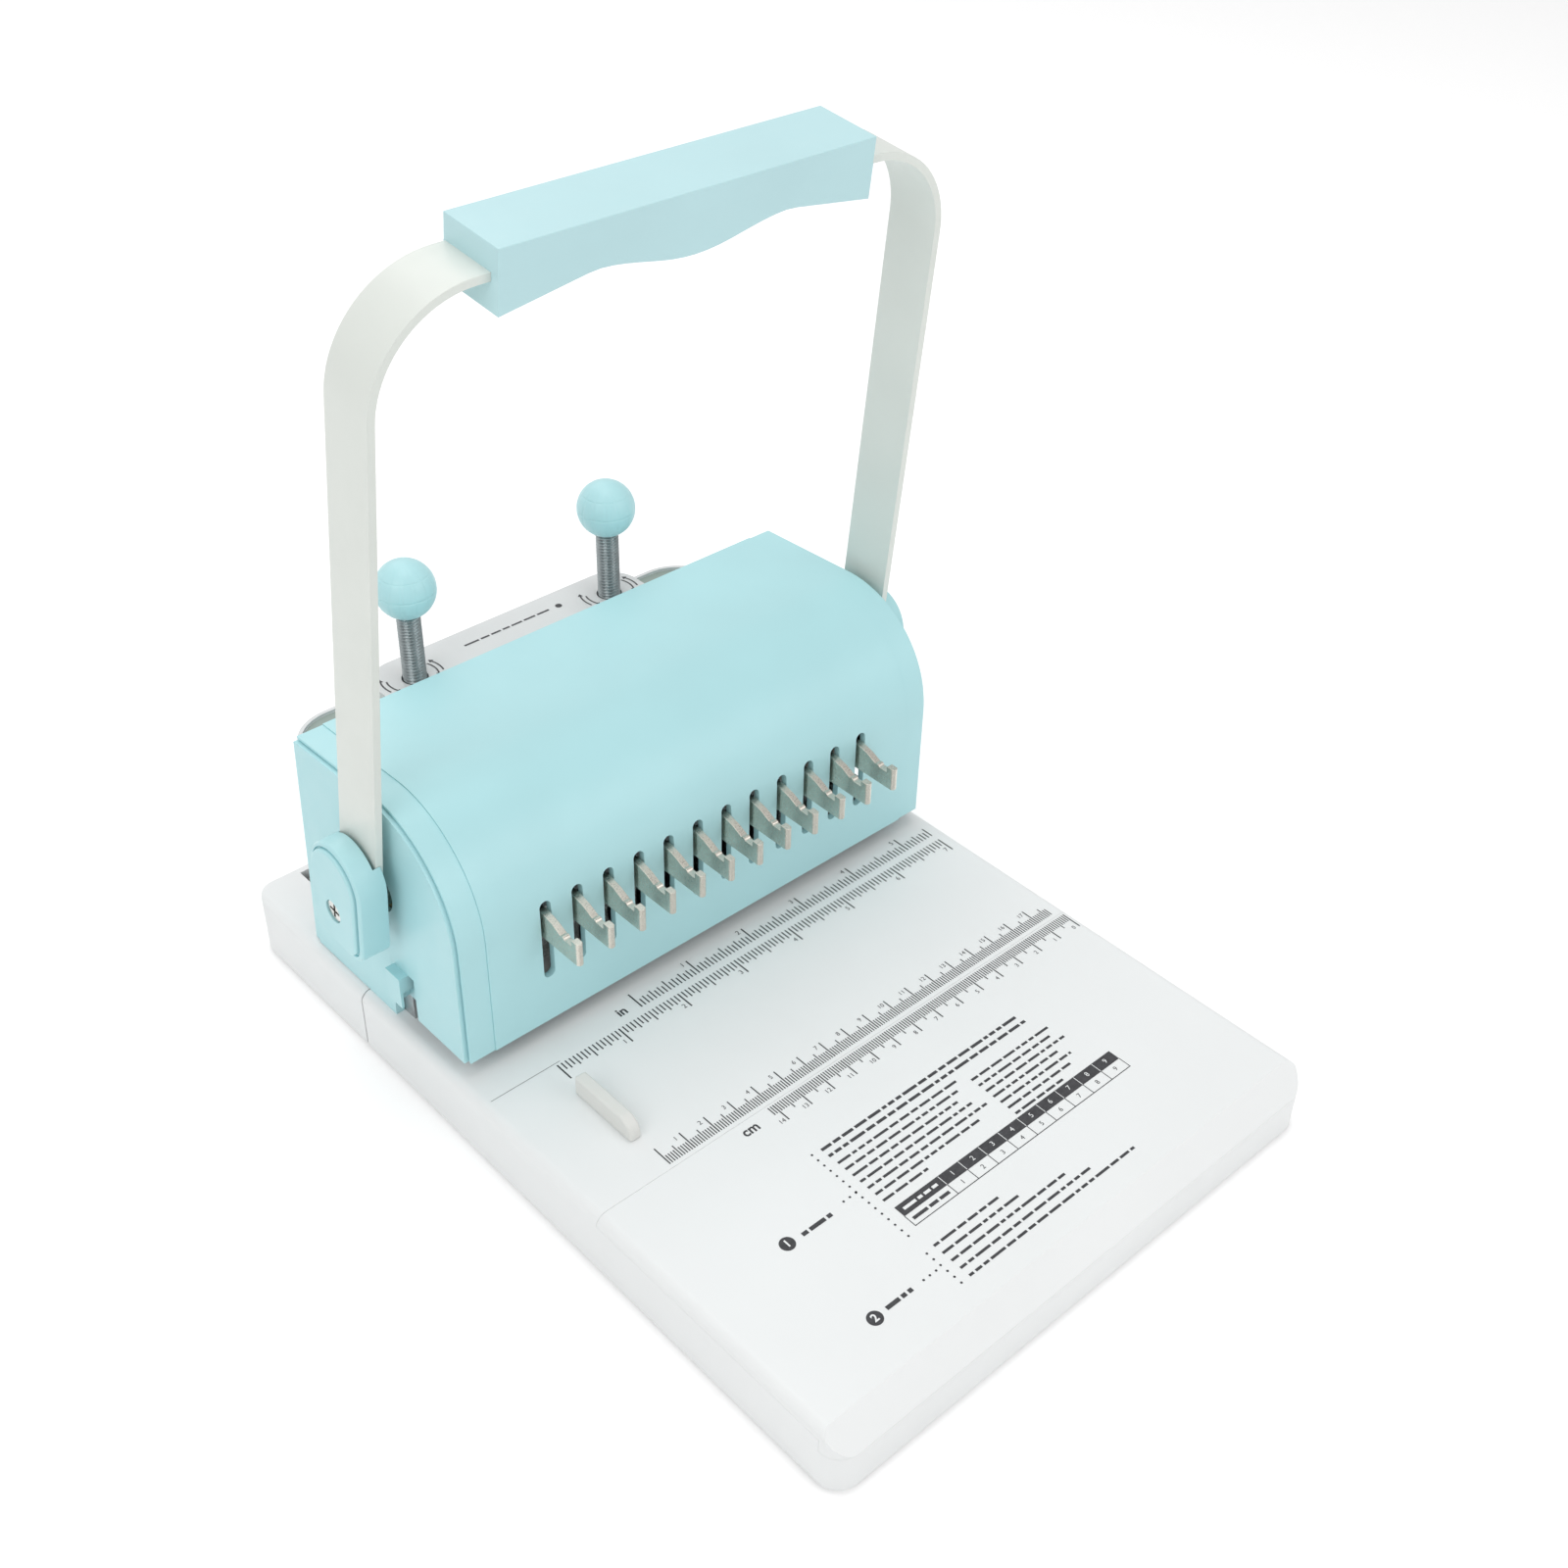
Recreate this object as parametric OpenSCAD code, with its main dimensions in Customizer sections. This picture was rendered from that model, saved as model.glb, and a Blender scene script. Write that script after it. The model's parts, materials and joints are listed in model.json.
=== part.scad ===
// Desk punch binding machine with a bow handle, twelve comb hooks and a flat table.
// Origin under the middle of the base, +X along the hook row, +Y to the rear, +Z up.

/* [Base] */
// Width of the base along the hook row
base_w = 214; // [206:1:240]
// Depth of the base from front to rear
base_d = 305; // [300:1:330]
// Height of the table above the surface it stands on
table_h = 25; // [24:0.5:32]
// How far the rubber feet stand below the base
foot_h = 1.5; // [1:0.5:2]
// Diameter of a rubber foot
foot_d = 16; // [10:1:20]
// Inset of the feet from the side, the front and the drawer seam
foot_inset = 10; // [9:0.5:14]
// Diameter of the posts that the bottom plate is screwed to
post_d = 7; // [6:0.5:7]
// Inset of the posts from the side faces
post_inset = 9.5; // [8.5:0.5:9.5]
// Distance of the front posts from the front face
post_front = 40; // [30:1:60]
// Distance of the rear posts in front of the drawer seam
post_rear = 26; // [24:1:30]
// Thread diameter of the bottom screws
bottom_screw_d = 3; // [2.5:0.25:3.5]
// Length of the bottom screws
bottom_screw_l = 8; // [6:0.5:10]
// Wall thickness of the base mouldings
base_wall = 2.5; // [2:0.25:3]
// Plan radius of the base corners
corner_r = 8; // [5:0.5:12]
// Run of the sloped band along the front top edge
band_run = 8; // [5:0.5:12]
// Drop of the sloped band along the front top edge
band_drop = 9; // [5:0.5:12]
// Thickness of the steel plate that closes the base from below
bottom_t = 1.5; // [1:0.25:2]
// Gap left around fitted pieces
fit_gap = 0.3; // [0.2:0.05:0.5]
// Depth of the table in front of the cover
table_d = 176.5; // [172:0.5:180]
// Distance from the front face to the rear edge of the front panel
panel_d = 105.4; // [90:0.1:112]
// Radius of the top edges along the sides of the base
edge_r = 4; // [2:0.25:5]
// Gap round the front panel
panel_gap = 0.1; // [0.05:0.05:0.3]

/* [Chip drawer] */
// Distance from the cover front to the seam of the drawer
drawer_back = 57; // [54:1:62]
// Gap along the seam in front of the drawer
drawer_gap = 0.8; // [0.3:0.05:1]
// Distance from a side plate to the chip tray
tray_side = 21; // [18:0.1:26]
// Height of the chip tray walls above its floor
tray_wall_h = 10; // [6:0.5:10.5]
// Wall thickness of the drawer
drawer_wall = 2; // [1.5:0.25:2.5]
// Width of the latch window in the top of the drawer
latch_w = 10; // [8:0.5:12]
// Length of the latch window from front to rear
latch_l = 10; // [8:0.5:12]
// Distance from the left side of the base to the latch window
latch_side = 18; // [16:0.5:22]
// Distance from the rear of the base to the latch window
latch_rear = 2.6; // [2.5:0.1:4]

/* [Cover] */
// Depth of the cover from front to rear
cover_d = 85.5; // [84:0.5:90]
// Height of the cover top above the table
cover_h = 91.5; // [90:0.5:98]
// Fall of the cover top towards the rear in degrees
top_slope = 2.8; // [0:0.1:4]
// Radius of the bend between the front and the top
cover_r = 40; // [34:1:44]
// Wall thickness of the cover and end caps
cover_wall = 2.5; // [2:0.25:3]
// Height of the paper throat under the cover front
throat_h = 6.3; // [5:0.1:8]
// Width of the rim that each end cap carries beside the cover
rim_w = 11; // [10:0.1:13]
// Gap between the cover and an end cap
seam_gap = 0.05; // [0.05:0.05:0.4]
// How far the surface of an end cap lies below the surface of the cover
cap_drop = 0.4; // [0.2:0.05:0.6]
// Inset of the end caps from the side of the base
cap_inset = 4.2; // [2:0.1:5]
// Depth of the edge step round the outer face of an end cap
cap_step = 1.5; // [1:0.1:1.8]
// Width of the groove inside the edge step of an end cap
cap_groove_w = 0.6; // [0.4:0.05:0.9]
// Depth of the groove inside the edge step of an end cap
cap_groove_d = 0.8; // [0.4:0.1:0.9]
// How far the rear edge of an end cap runs out behind the cover at the table
cap_back = 6.5; // [4:0.25:8]
// Overlap of the lip behind the cover seam
seam_lip = 4; // [3:0.5:5]
// Depth of the paper throat cut in the end caps
throat_d = 28; // [27:0.5:30]
// Width of the upright notch in a side plate at the end of the throat
notch_w = 7; // [5:0.5:8]
// Height of the upright notch above the table
notch_h = 24; // [18:1:26]
// How far the foot of an end cap flares out towards the edge of the base
heel_out = 0.6; // [0.4:0.1:2]
// Distance from the end of the throat to the foot of an end cap
foot_back = 13; // [12:0.5:14]
// Height of the foot of an end cap
heel_h = 27; // [22:1:30]
// Gap between the end of the throat and the square catch
catch_gap = 3.2; // [2.5:0.1:4]
// How far the catch stands out of the end cap
catch_out = 3.5; // [2:0.25:3.75]
// Width of the square catch beside the notch
catch_w = 8; // [6:0.5:9]
// Height of the underside of the catch above the table
catch_up = 11.5; // [8:0.5:13]

/* [Hooks] */
// Number of comb hooks and punches
hook_count = 12; // [8:1:12]
// Thickness of a hook plate
hook_t = 2.6; // [2:0.1:3]
// How far the hooks stand out of the cover
hook_out = 18; // [16:0.5:20]
// Height of a hook at the cover
hook_root_h = 10.4; // [9.5:0.1:12]
// Height of a hook at its raised tip
hook_tip_h = 8.8; // [8.6:0.1:10]
// Width of the raised tip
hook_tip_w = 3.5; // [3:0.1:4]
// Height of the saddle behind the tip
hook_saddle_h = 6.6; // [5.5:0.1:6.6]
// Distance of the bead on the hook from the cover
bead_out = 9.8; // [8:0.1:10.5]
// Radius of the bead on the hook
bead_r = 1.2; // [0.8:0.1:1.5]
// Height of the lower edge of the hooks above the table
hook_up = 42; // [40:0.1:43]
// Width of a slot in the cover
slot_w = 4.4; // [4:0.1:5.5]
// Height of a slot in the cover
slot_h = 31.7; // [30:0.1:34]
// Space between a hook and the top of its slot
slot_over = 4.1; // [3:0.1:5]

/* [Punch] */
// Width of a punched hole
punch_w = 8; // [6:0.25:9]
// Depth of a punched hole
punch_d = 3; // [2.5:0.25:3.5]
// Clearance of a punch in the die and in its guide
punch_gap = 0.08; // [0.05:0.01:0.1]
// Distance from the middle of a hole to the paper edge
edge_margin = 4.5; // [4:0.25:6]
// Thickness of the die plate flange under the table
die_flange_t = 3; // [2.5:0.25:4]
// Gap between the die and the stripper
paper_gap = 2.5; // [2.2:0.1:3]
// Thickness of the stripper plate
stripper_t = 6; // [5:0.5:7]
// Depth of the stripper plate from front to rear
stripper_d = 20; // [16:1:22]
// Distance from the punches to the edges of the die insert
die_half_d = 13; // [11:0.5:13]
// Distance from a side plate to the die insert
die_side = 16.2; // [15:0.1:20]
// Height of the punch tips above the underside of the stripper
punch_in = 1; // [0.5:0.1:2]
// Distance from the punches to the rear face of the ram
ram_half_d = 4; // [3.5:0.25:4.5]
// Height of the ram bar
ram_h = 22; // [18:0.5:24]
// Height of the underside of the ram above the table
ram_up = 33; // [31:0.5:34]
// Distance from a side plate to the end of the ram bar
ram_end = 8.2; // [5:0.1:10]
// How far the punches are let into the ram
punch_seat = 6; // [4:0.5:8]
// Thickness of the bar that carries the hooks
hook_bar_t = 4; // [3:0.5:5]
// Diameter of a guide rod
rod_d = 6; // [5:0.25:6.5]
// Distance of a guide rod from the end of the ram bar
rod_in = 7; // [6:0.1:8]
// Distance from a guide rod to the outer hook
row_margin = 12.8; // [12:0.05:18]
// Radial clearance of shafts and rods in their bores
run_gap = 0.05; // [0.03:0.01:0.08]
// Wire diameter of a return spring
wire_d = 1.2; // [1:0.1:1.3]
// Mean diameter of a return spring
spring_d = 9.5; // [9:0.25:10]
// Turns of a return spring
spring_turns = 6; // [4:1:7]

/* [Drive] */
// Distance from the cover front to the handle shaft
pivot_back = 43; // [42:0.5:45]
// Height of the handle shaft above the table
pivot_up = 53; // [52:0.5:56]
// Diameter of the handle shaft
shaft_d = 12; // [10:0.5:13]
// Wall thickness of a shaft bush
bush_wall = 2; // [1.5:0.25:2.5]
// Module of the rack and pinion
gear_module = 1.5; // [1.4:0.05:1.55]
// Teeth of a pinion
pinion_teeth = 12; // [12:1:12]
// Width of a pinion
pinion_w = 9; // [7:0.5:11]
// Distance from a side plate to the middle of a pinion
pinion_side = 36.2; // [32:0.1:38]
// Room left between the teeth across one mesh
backlash = 0.6; // [0.4:0.05:0.8]
// Thickness of a rack behind its teeth
rack_back = 3; // [2.5:0.25:4]
// Height of a rack
rack_h = 36; // [34:1:38]
// Thickness of a steel side plate
side_t = 3; // [2:0.25:3.5]
// Width of the foot flange of a side plate
flange_w = 13; // [11:0.5:13]
// Thread diameter of the frame screws
frame_screw_d = 4; // [3:0.5:4]
// Inset of the frame screws from the ends of the flange
frame_screw_in = 4; // [3.5:0.25:5]
// Head height of the frame screws
frame_head_h = 2.4; // [1.5:0.1:3]
// Distance of the side plates in front of the cover rear
plate_back = 5; // [4:0.5:8]

/* [Handle] */
// Forward lean of the handle at rest in degrees
lean = 6.8; // [0:0.2:8]
// Inward slope of each handle side in degrees
side_slope = 1.75; // [1:0.05:2.4]
// Width of the flat handle bar
bar_w = 20; // [18:0.5:21]
// Thickness of the flat handle bar
bar_t = 2.5; // [2.25:0.25:3]
// Height of the bar top above the shaft
bar_top = 208.7; // [195:0.1:220]
// Outer radius of the handle bends
bend_r = 34; // [28:1:38]
// Gap between an end cap and the handle bar
bar_gap = 4.5; // [3.5:0.25:5]
// Length of the bar below the shaft
bar_tail = 11.5; // [11:0.5:13]
// Distance from an end of the grip to the handle bend
grip_end = 4.3; // [4:0.1:12]
// Depth of the grip from front to rear
grip_d = 24; // [23.5:0.5:26]
// Forward offset of the grip from the bar
grip_fwd = 1.2; // [0:0.1:1.4]
// Height of the upper grip half
grip_up = 7.8; // [6:0.2:10]
// Depth of the lower grip half at its ends and belly
grip_down = 11.2; // [10.5:0.2:13]
// Depth of the lower grip half at its finger dips
grip_dip = 6.4; // [6.2:0.1:8]
// Place of the finger dips as a distance from the grip middle
dip_x = 35; // [30:1:40]
// Diameter of the grip screws
grip_screw_d = 3; // [2.5:0.25:3.5]
// Width of a hub
hub_w = 27.5; // [26:0.5:29]
// Height of a hub above the shaft
hub_up = 26; // [24:0.5:30]
// Length of a hub below the shaft
hub_down = 15; // [14.5:0.5:18]
// Thickness of a hub outside the bar
hub_t = 9.5; // [8:0.25:10]
// Height of the raised face of a hub
hub_face_t = 1.2; // [0.8:0.1:1.6]
// Border left round the raised face of a hub
hub_border = 2; // [2:0.25:3.5]
// Width of the groove round the raised face of a hub
hub_groove_w = 0.6; // [0.4:0.05:0.9]
// Depth of the groove round the raised face of a hub
hub_groove_d = 0.8; // [0.4:0.1:1.2]
// Radius of the lower hub corners
hub_corner_r = 5; // [4:0.5:6]
// Thread diameter of a hub screw
hub_screw_d = 5; // [4:0.25:5]
// Head diameter of a hub screw
hub_head_d = 7.5; // [7:0.25:9]
// Head height of a hub screw
hub_head_h = 3; // [2:0.25:4]
// Length of a hub screw inside the bar
hub_screw_l = 20; // [12:1:24]
// Across flats of the squared shaft end
square_s = 8; // [7.2:0.1:8]

/* [Rear screws] */
// Depth of the rear panel behind the cover
rear_d = 37; // [34:0.5:38]
// Distance from an end cap rim to the side of the rear panel
rear_side = 1.6; // [1:0.1:4]
// Radius of the rear corners of the rear panel
rear_r = 18; // [14:0.5:22]
// Half width of the raised middle of the rear panel
hump_half_w = 57; // [56:1:62]
// Radius of the rear corners of the raised middle
hump_r = 12; // [8:0.5:14]
// Height of the raised middle above the corners of the rear panel
hump_h = 8.5; // [7:0.5:11]
// Width of the rim round the low corners of the rear panel
low_rim_w = 1.4; // [1:0.1:2]
// Depth of the low corners below their rim
low_rim_h = 1; // [0.6:0.1:1.2]
// Height of the rear panel top above the table
rear_h = 74; // [72:0.5:80]
// Thickness of the rear panel
rear_t = 2; // [1.5:0.25:2.5]
// Diameter of a knob screw
spindle_d = 8.5; // [8:0.1:9]
// Thread pitch of a knob screw
spindle_pitch = 1.25; // [1:0.05:1.5]
// Distance from the middle of the machine to a knob screw
spindle_x = 42.8; // [40:0.2:44]
// Distance from the cover rear to a knob screw
spindle_back = 23; // [20:0.25:24]
// Height of the middle of a ball knob above the rear panel
knob_up = 35.8; // [30:0.1:40]
// Diameter of a ball knob
knob_d = 21.2; // [18:0.2:24]
// Across flats of a screw nut
nut_s = 13; // [12.5:0.1:13]
// Thickness of a screw nut
nut_t = 6.5; // [5:0.5:8]
// Diameter of a clamp foot
clamp_d = 12; // [10:0.25:12]
// Thickness of a clamp foot
clamp_t = 4; // [3.5:0.25:5]
// Lift of a clamp foot above the depth stop at rest
clamp_lift = 0.3; // [0.3:0.05:0.5]
// Height of the clamp shelf above the table
shelf_up = 36; // [33:0.5:37]
// Thickness of the clamp shelf
shelf_t = 3; // [2:0.25:4]
// Thickness of the depth stop sheet
stop_t = 2; // [1.5:0.1:2]
// Half width of the upright of the depth stop
stop_half_w = 52; // [50:1:54]
// Distance from a side plate to the stop lip
lip_side = 20.2; // [18:0.1:24]
// Distance of the upright of the depth stop behind the shaft
leg_back = 5; // [4:0.5:7]
// Diameter of the screw tip in the clamp foot
tip_d = 5; // [4:0.25:6]
// Length of the screw tip in the clamp foot
tip_l = 2.4; // [1.5:0.1:3]

/* [Paper guide] */
// Distance from the side of the base to the paper guide
guide_side = 28.5; // [16:0.5:32]
// Distance from the cover front to the rear end of the paper guide
guide_back = 26.5; // [24:0.5:40]
// Length of the paper guide
guide_l = 28.5; // [22:0.5:34]
// Thickness of the paper guide
guide_t = 4.4; // [4:0.1:6]
// Height of the paper guide
guide_h = 7.5; // [6.5:0.1:9]
// Radius of the front end of the paper guide
guide_r = 6; // [4:0.5:6]

/* [Hidden] */
$fn = 64;
front_y = -base_d / 2;
rear_y = base_d / 2;
side_x = base_w / 2;
base_z0 = foot_h;
deck_z = table_h - base_wall;
cover_y0 = front_y + table_d;
cover_y1 = cover_y0 + cover_d;
cover_z0 = table_h + throat_h;
cover_z1 = table_h + cover_h;
rear_top = cover_z1 - cover_r * (1 - cos(top_slope)) - (cover_d - cover_r - cover_r * sin(top_slope)) * tan(top_slope);
cap_x = side_x - cap_inset;
cap_in_x = cap_x - cover_wall;
seam_x = cap_x - rim_w;
cover_x = seam_x - seam_gap;
plate_x = cap_in_x - fit_gap;
plate_in_x = plate_x - side_t;
tray_half_w = plate_in_x - tray_side;
ram_half_w = plate_in_x - ram_end;
rod_x = ram_half_w - rod_in;
hook_pitch = 2 * (rod_x - row_margin) / (hook_count - 1);
pinion_x = plate_in_x - pinion_side;
lip_half_w = plate_in_x - lip_side;
guide_x = side_x - guide_side;
pivot_y = cover_y0 + pivot_back;
pivot_z = table_h + pivot_up;
pinion_r = gear_module * pinion_teeth / 2;
rack_pitch = PI * gear_module;
rack_top = 0.6 * gear_module;
rack_root = 1.25 * gear_module;
ram_y1 = pivot_y - pinion_r - rack_root - rack_back;
punch_y = ram_y1 - ram_half_d;
ram_y0 = punch_y - ram_half_d;
ram_z0 = table_h + ram_up;
stripper_z0 = table_h + paper_gap;
stripper_z1 = stripper_z0 + stripper_t;
punch_z0 = stripper_z0 + punch_in;
hook_z0 = table_h + hook_up;
hook_tip_y = cover_y0 - hook_out;
slot_z1 = hook_z0 + hook_root_h + slot_over;
seam_y = cover_y0 + drawer_back;
throat_y = cover_y0 + throat_d;
heel_y0 = throat_y + notch_w;
catch_y0 = throat_y + catch_gap;
die_z0 = deck_z - die_flange_t;
die_half_w = plate_in_x - 5;
window_half_w = plate_in_x - die_side;
flange_y0 = heel_y0 + 1;
flange_y1 = seam_y - 2;
flange_t = side_t;
frame_screw_x = plate_in_x - flange_w * 0.6;
tray_z0 = base_z0 + bottom_t + fit_gap;
tray_y0 = punch_y - die_half_d;
bar_x = cap_x + bar_gap + bar_t;
hub_in_x = cap_x + bar_gap + 0.4;
hub_x = bar_x + hub_t;
shaft_half = bar_x - bar_t / cos(side_slope) - tan(side_slope) * shaft_d / 2 - 0.1;
grip_mid = -grip_fwd;
bow_z = bar_top - bend_r;
bow_x = bar_x - tan(side_slope) * bow_z - bend_r / cos(side_slope);
grip_l = 2 * (bow_x - grip_end);
spindle_y = cover_y1 + spindle_back;
rear_z1 = table_h + rear_h;
low_z1 = rear_z1 - hump_h;
rear_half = seam_x - rear_side;
shelf_z1 = table_h + shelf_up;
stop_z1 = shelf_z1 + stop_t;
foot_z0 = stop_z1 + clamp_lift;
knob_z = rear_z1 + knob_up;
lip_y0 = punch_y + edge_margin;
leg_y0 = pivot_y + leg_back;
spring_z0 = stripper_z1 + wire_d / 2 + 0.05;
spring_l = ram_z0 - stripper_z1 - wire_d - 0.1;
aqua = [0.75, 0.90, 0.91];
white = [0.93, 0.94, 0.94];
steel = [0.72, 0.73, 0.74];
bar_grey = [0.87, 0.89, 0.86];

// Box between two corners
module block(a, b) {
    translate(a) cube(b - a);
}

// Extrusion along X of a shape drawn in the YZ plane
module along_x(x0, x1) {
    translate([x0, 0, 0]) rotate([90, 0, 90]) linear_extrude(x1 - x0) children();
}

// Extrusion along Y of a shape drawn in the XZ plane
module along_y(y0, y1) {
    translate([0, y1, 0]) rotate([90, 0, 0]) linear_extrude(y1 - y0) children();
}

// Rectangle with its four corners rounded
module round_rect(a, b, r) {
    translate([a.x + r, a.y]) square([b.x - a.x - 2 * r, b.y - a.y]);
    translate([a.x, a.y + r]) square([b.x - a.x, b.y - a.y - 2 * r]);
    for (x = [a.x + r, b.x - r], y = [a.y + r, b.y - r]) translate([x, y]) circle(r);
}

// Plan of the whole base drawn in by an inset
module base_plan(inset) {
    round_rect([-side_x + inset, front_y + inset], [side_x - inset, rear_y - inset], corner_r - inset);
}

// Plan of the base between two distances along Y
module base_slice(inset, y0, y1) {
    intersection() {
        base_plan(inset);
        translate([-side_x, y0]) square([base_w, y1 - y0]);
    }
}

// Prism that cuts the sloped band off the front top edge
module front_band() {
    along_x(-side_x - 1, side_x + 1)
        polygon([[front_y - 1, table_h - band_drop - band_drop / band_run],
                 [front_y + band_run + 1, table_h + band_drop / band_run], [front_y - 1, table_h + 2]]);
}

// Section of the base across its width, with rounded top edges
module side_section(top) {
    translate([-side_x, base_z0]) square([base_w, top - edge_r - base_z0]);
    translate([-side_x + edge_r, base_z0]) square([base_w - 2 * edge_r, top - base_z0]);
    for (x = [-1, 1]) translate([x * (side_x - edge_r), top - edge_r]) circle(edge_r);
}

// Solid outer form of the base between two distances along Y
module base_form(y0, y1, top) {
    difference() {
        intersection() {
            translate([0, 0, base_z0]) linear_extrude(top - base_z0) base_slice(0, y0, y1);
            along_y(y0 - 1, y1 + 1) side_section(top);
        }
        front_band();
    }
}

// Room that the front panel takes up, grown by a gap
module panel_zone(gap) {
    far = side_x + 1;
    block([-far, front_y - 1, table_h - edge_r - gap], [far, front_y + panel_d + gap, table_h + 1]);
    block([-far, front_y - 1, table_h - band_drop - gap], [far, front_y + band_run + gap, table_h + 1]);
}

// Places one child at every post of the bottom plate
module at_posts() {
    for (x = [-1, 1], y = [front_y + post_front, seam_y - post_rear])
        translate([x * (side_x - post_inset), y, 0]) children();
}

// Inside of the base from a distance along Y up to a height
module base_hollow(y0, z1) {
    translate([0, 0, base_z0 - 1]) linear_extrude(z1 - base_z0 + 1) base_slice(base_wall, y0, seam_y + 1);
}

module base_shell() color(white) difference() {
    union() {
        difference() {
            base_form(front_y, seam_y, table_h);
            base_hollow(front_y, table_h - band_drop - base_wall);
            base_hollow(front_y + band_run + base_wall, table_h - edge_r - base_wall);
            base_hollow(front_y + panel_d + base_wall, deck_z);
        }
        at_posts() translate([0, 0, base_z0 + bottom_t]) cylinder(d = post_d, h = deck_z - base_z0 - bottom_t + 0.5);
    }
    panel_zone(panel_gap);
    at_posts() translate([0, 0, base_z0]) cylinder(d = bottom_screw_d + 0.1, h = bottom_screw_l + 2);
    // Window of the die
    block([-window_half_w - fit_gap, punch_y - die_half_d - fit_gap, base_z0],
          [window_half_w + fit_gap, punch_y + die_half_d + fit_gap, table_h + 1]);
    at_frame_screws() translate([0, 0, base_z0]) cylinder(d = frame_screw_d + 2 * fit_gap, h = table_h);
}

module front_panel() color(white) intersection() {
    base_form(front_y, seam_y, table_h);
    panel_zone(0);
}

module bottom_plate() color(steel) difference() {
    translate([0, 0, base_z0]) linear_extrude(bottom_t) base_slice(base_wall + fit_gap, front_y, seam_y - 1);
    at_posts() translate([0, 0, base_z0 - 1]) cylinder(d = bottom_screw_d + 0.1, h = bottom_t + 2);
}

module bottom_screws() color(steel) at_posts() {
    head_h = foot_h - 0.3;
    translate([0, 0, base_z0 - head_h]) cylinder(d = bottom_screw_d * 1.9, h = head_h);
    translate([0, 0, base_z0]) cylinder(d = bottom_screw_d, h = bottom_screw_l);
}

module feet() color("dimgray") for (x = [-1, 1], y = [front_y + foot_inset, seam_y - foot_inset])
    translate([x * (side_x - foot_inset), y, 0]) cylinder(d = foot_d, h = foot_h);

module chip_drawer() color(white) {
    top = table_h - fit_gap;
    difference() {
        base_form(seam_y + drawer_gap, rear_y, top);
        translate([0, 0, tray_z0 + drawer_wall]) linear_extrude(top - base_wall - tray_z0 - drawer_wall)
            base_slice(base_wall, seam_y, rear_y);
        block([-side_x + latch_side, rear_y - latch_rear - latch_l, top - base_wall - 1],
              [-side_x + latch_side + latch_w, rear_y - latch_rear, table_h]);
    }
    difference() {
        block([-tray_half_w, tray_y0, tray_z0], [tray_half_w, seam_y + 1, tray_z0 + drawer_wall + tray_wall_h]);
        block([-tray_half_w + drawer_wall, tray_y0 + drawer_wall, tray_z0 + drawer_wall],
              [tray_half_w - drawer_wall, seam_y + 2, table_h]);
    }
}

// Places one child at every hook
module at_hooks() {
    for (i = [0 : hook_count - 1]) translate([(i - (hook_count - 1) / 2) * hook_pitch, 0, 0]) children();
}

// Places one child at every frame screw
module at_frame_screws() {
    for (x = [-1, 1], y = [flange_y0 + frame_screw_in, flange_y1 - frame_screw_in])
        translate([x * frame_screw_x, y, 0]) children();
}

// Row of punch holes with a clearance
module punch_holes(z0, z1) {
    at_hooks() block([-punch_w / 2 - punch_gap, punch_y - punch_d / 2 - punch_gap, z0],
                     [punch_w / 2 + punch_gap, punch_y + punch_d / 2 + punch_gap, z1]);
}

module die_plate() color(steel) difference() {
    union() {
        block([-window_half_w, punch_y - die_half_d, deck_z], [window_half_w, punch_y + die_half_d, table_h]);
        block([-die_half_w, punch_y - die_half_d - 4, die_z0], [die_half_w, flange_y1, deck_z]);
    }
    punch_holes(die_z0 - 1, table_h + 1);
    at_frame_screws() translate([0, 0, die_z0 - 1]) cylinder(d = frame_screw_d + 0.1, h = table_h);
}

module stripper_plate() color(steel) difference() {
    along_x(-plate_in_x, plate_in_x) polygon([
        [punch_y - stripper_d / 2, stripper_z0 + 2], [punch_y - stripper_d / 2 + 4, stripper_z0],
        [punch_y + stripper_d / 2, stripper_z0], [punch_y + stripper_d / 2, stripper_z1],
        [punch_y - stripper_d / 2, stripper_z1]]);
    punch_holes(stripper_z0 - 1, stripper_z1 + 1);
    for (x = [-rod_x, rod_x]) translate([x, punch_y, stripper_z0 - 1]) cylinder(d = rod_d + 0.04, h = stripper_t + 2);
}

// Outline of the cover section drawn in by a distance, open lines run on past the rear and bottom
module cover_section(inset, y1, z0) {
    bend_y = cover_y0 + cover_r;
    bend_z = cover_z1 - cover_r;
    r = cover_r - inset;
    top_y = bend_y + r * sin(top_slope);
    top_z = bend_z + r * cos(top_slope);
    intersection() {
        translate([bend_y, bend_z]) circle(r, $fn = 96);
        translate([cover_y0, bend_z - 1]) square([top_y - cover_y0, cover_r + 1]);
    }
    translate([cover_y0 + inset, z0]) square([r + 1, bend_z - z0]);
    polygon([[bend_y, z0], [y1, z0], [y1, top_z - (y1 - top_y) * tan(top_slope)], [top_y, top_z], [bend_y, bend_z]]);
}

// One skin of the cover section between two insets
module cover_skin(outer, inner) {
    difference() {
        cover_section(outer, cover_y1, cover_z0);
        cover_section(inner, cover_y1 + 1, cover_z0 - 1);
    }
}

module cover() color(aqua) difference() {
    union() {
        along_x(-cover_x, cover_x) cover_skin(0, cover_wall);
        along_x(-cover_x, cover_x) intersection() {
            cover_section(0, cover_y1, cover_z0);
            translate([cover_y1 - cover_wall, low_z1 + fit_gap]) square([cover_wall, cover_h]);
        }
    }
    at_hooks() along_y(cover_y0 - 1, cover_y0 + cover_r)
        round_rect([-slot_w / 2, slot_z1 - slot_h], [slot_w / 2, slot_z1], slot_w / 2 - 0.01);
}

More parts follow.
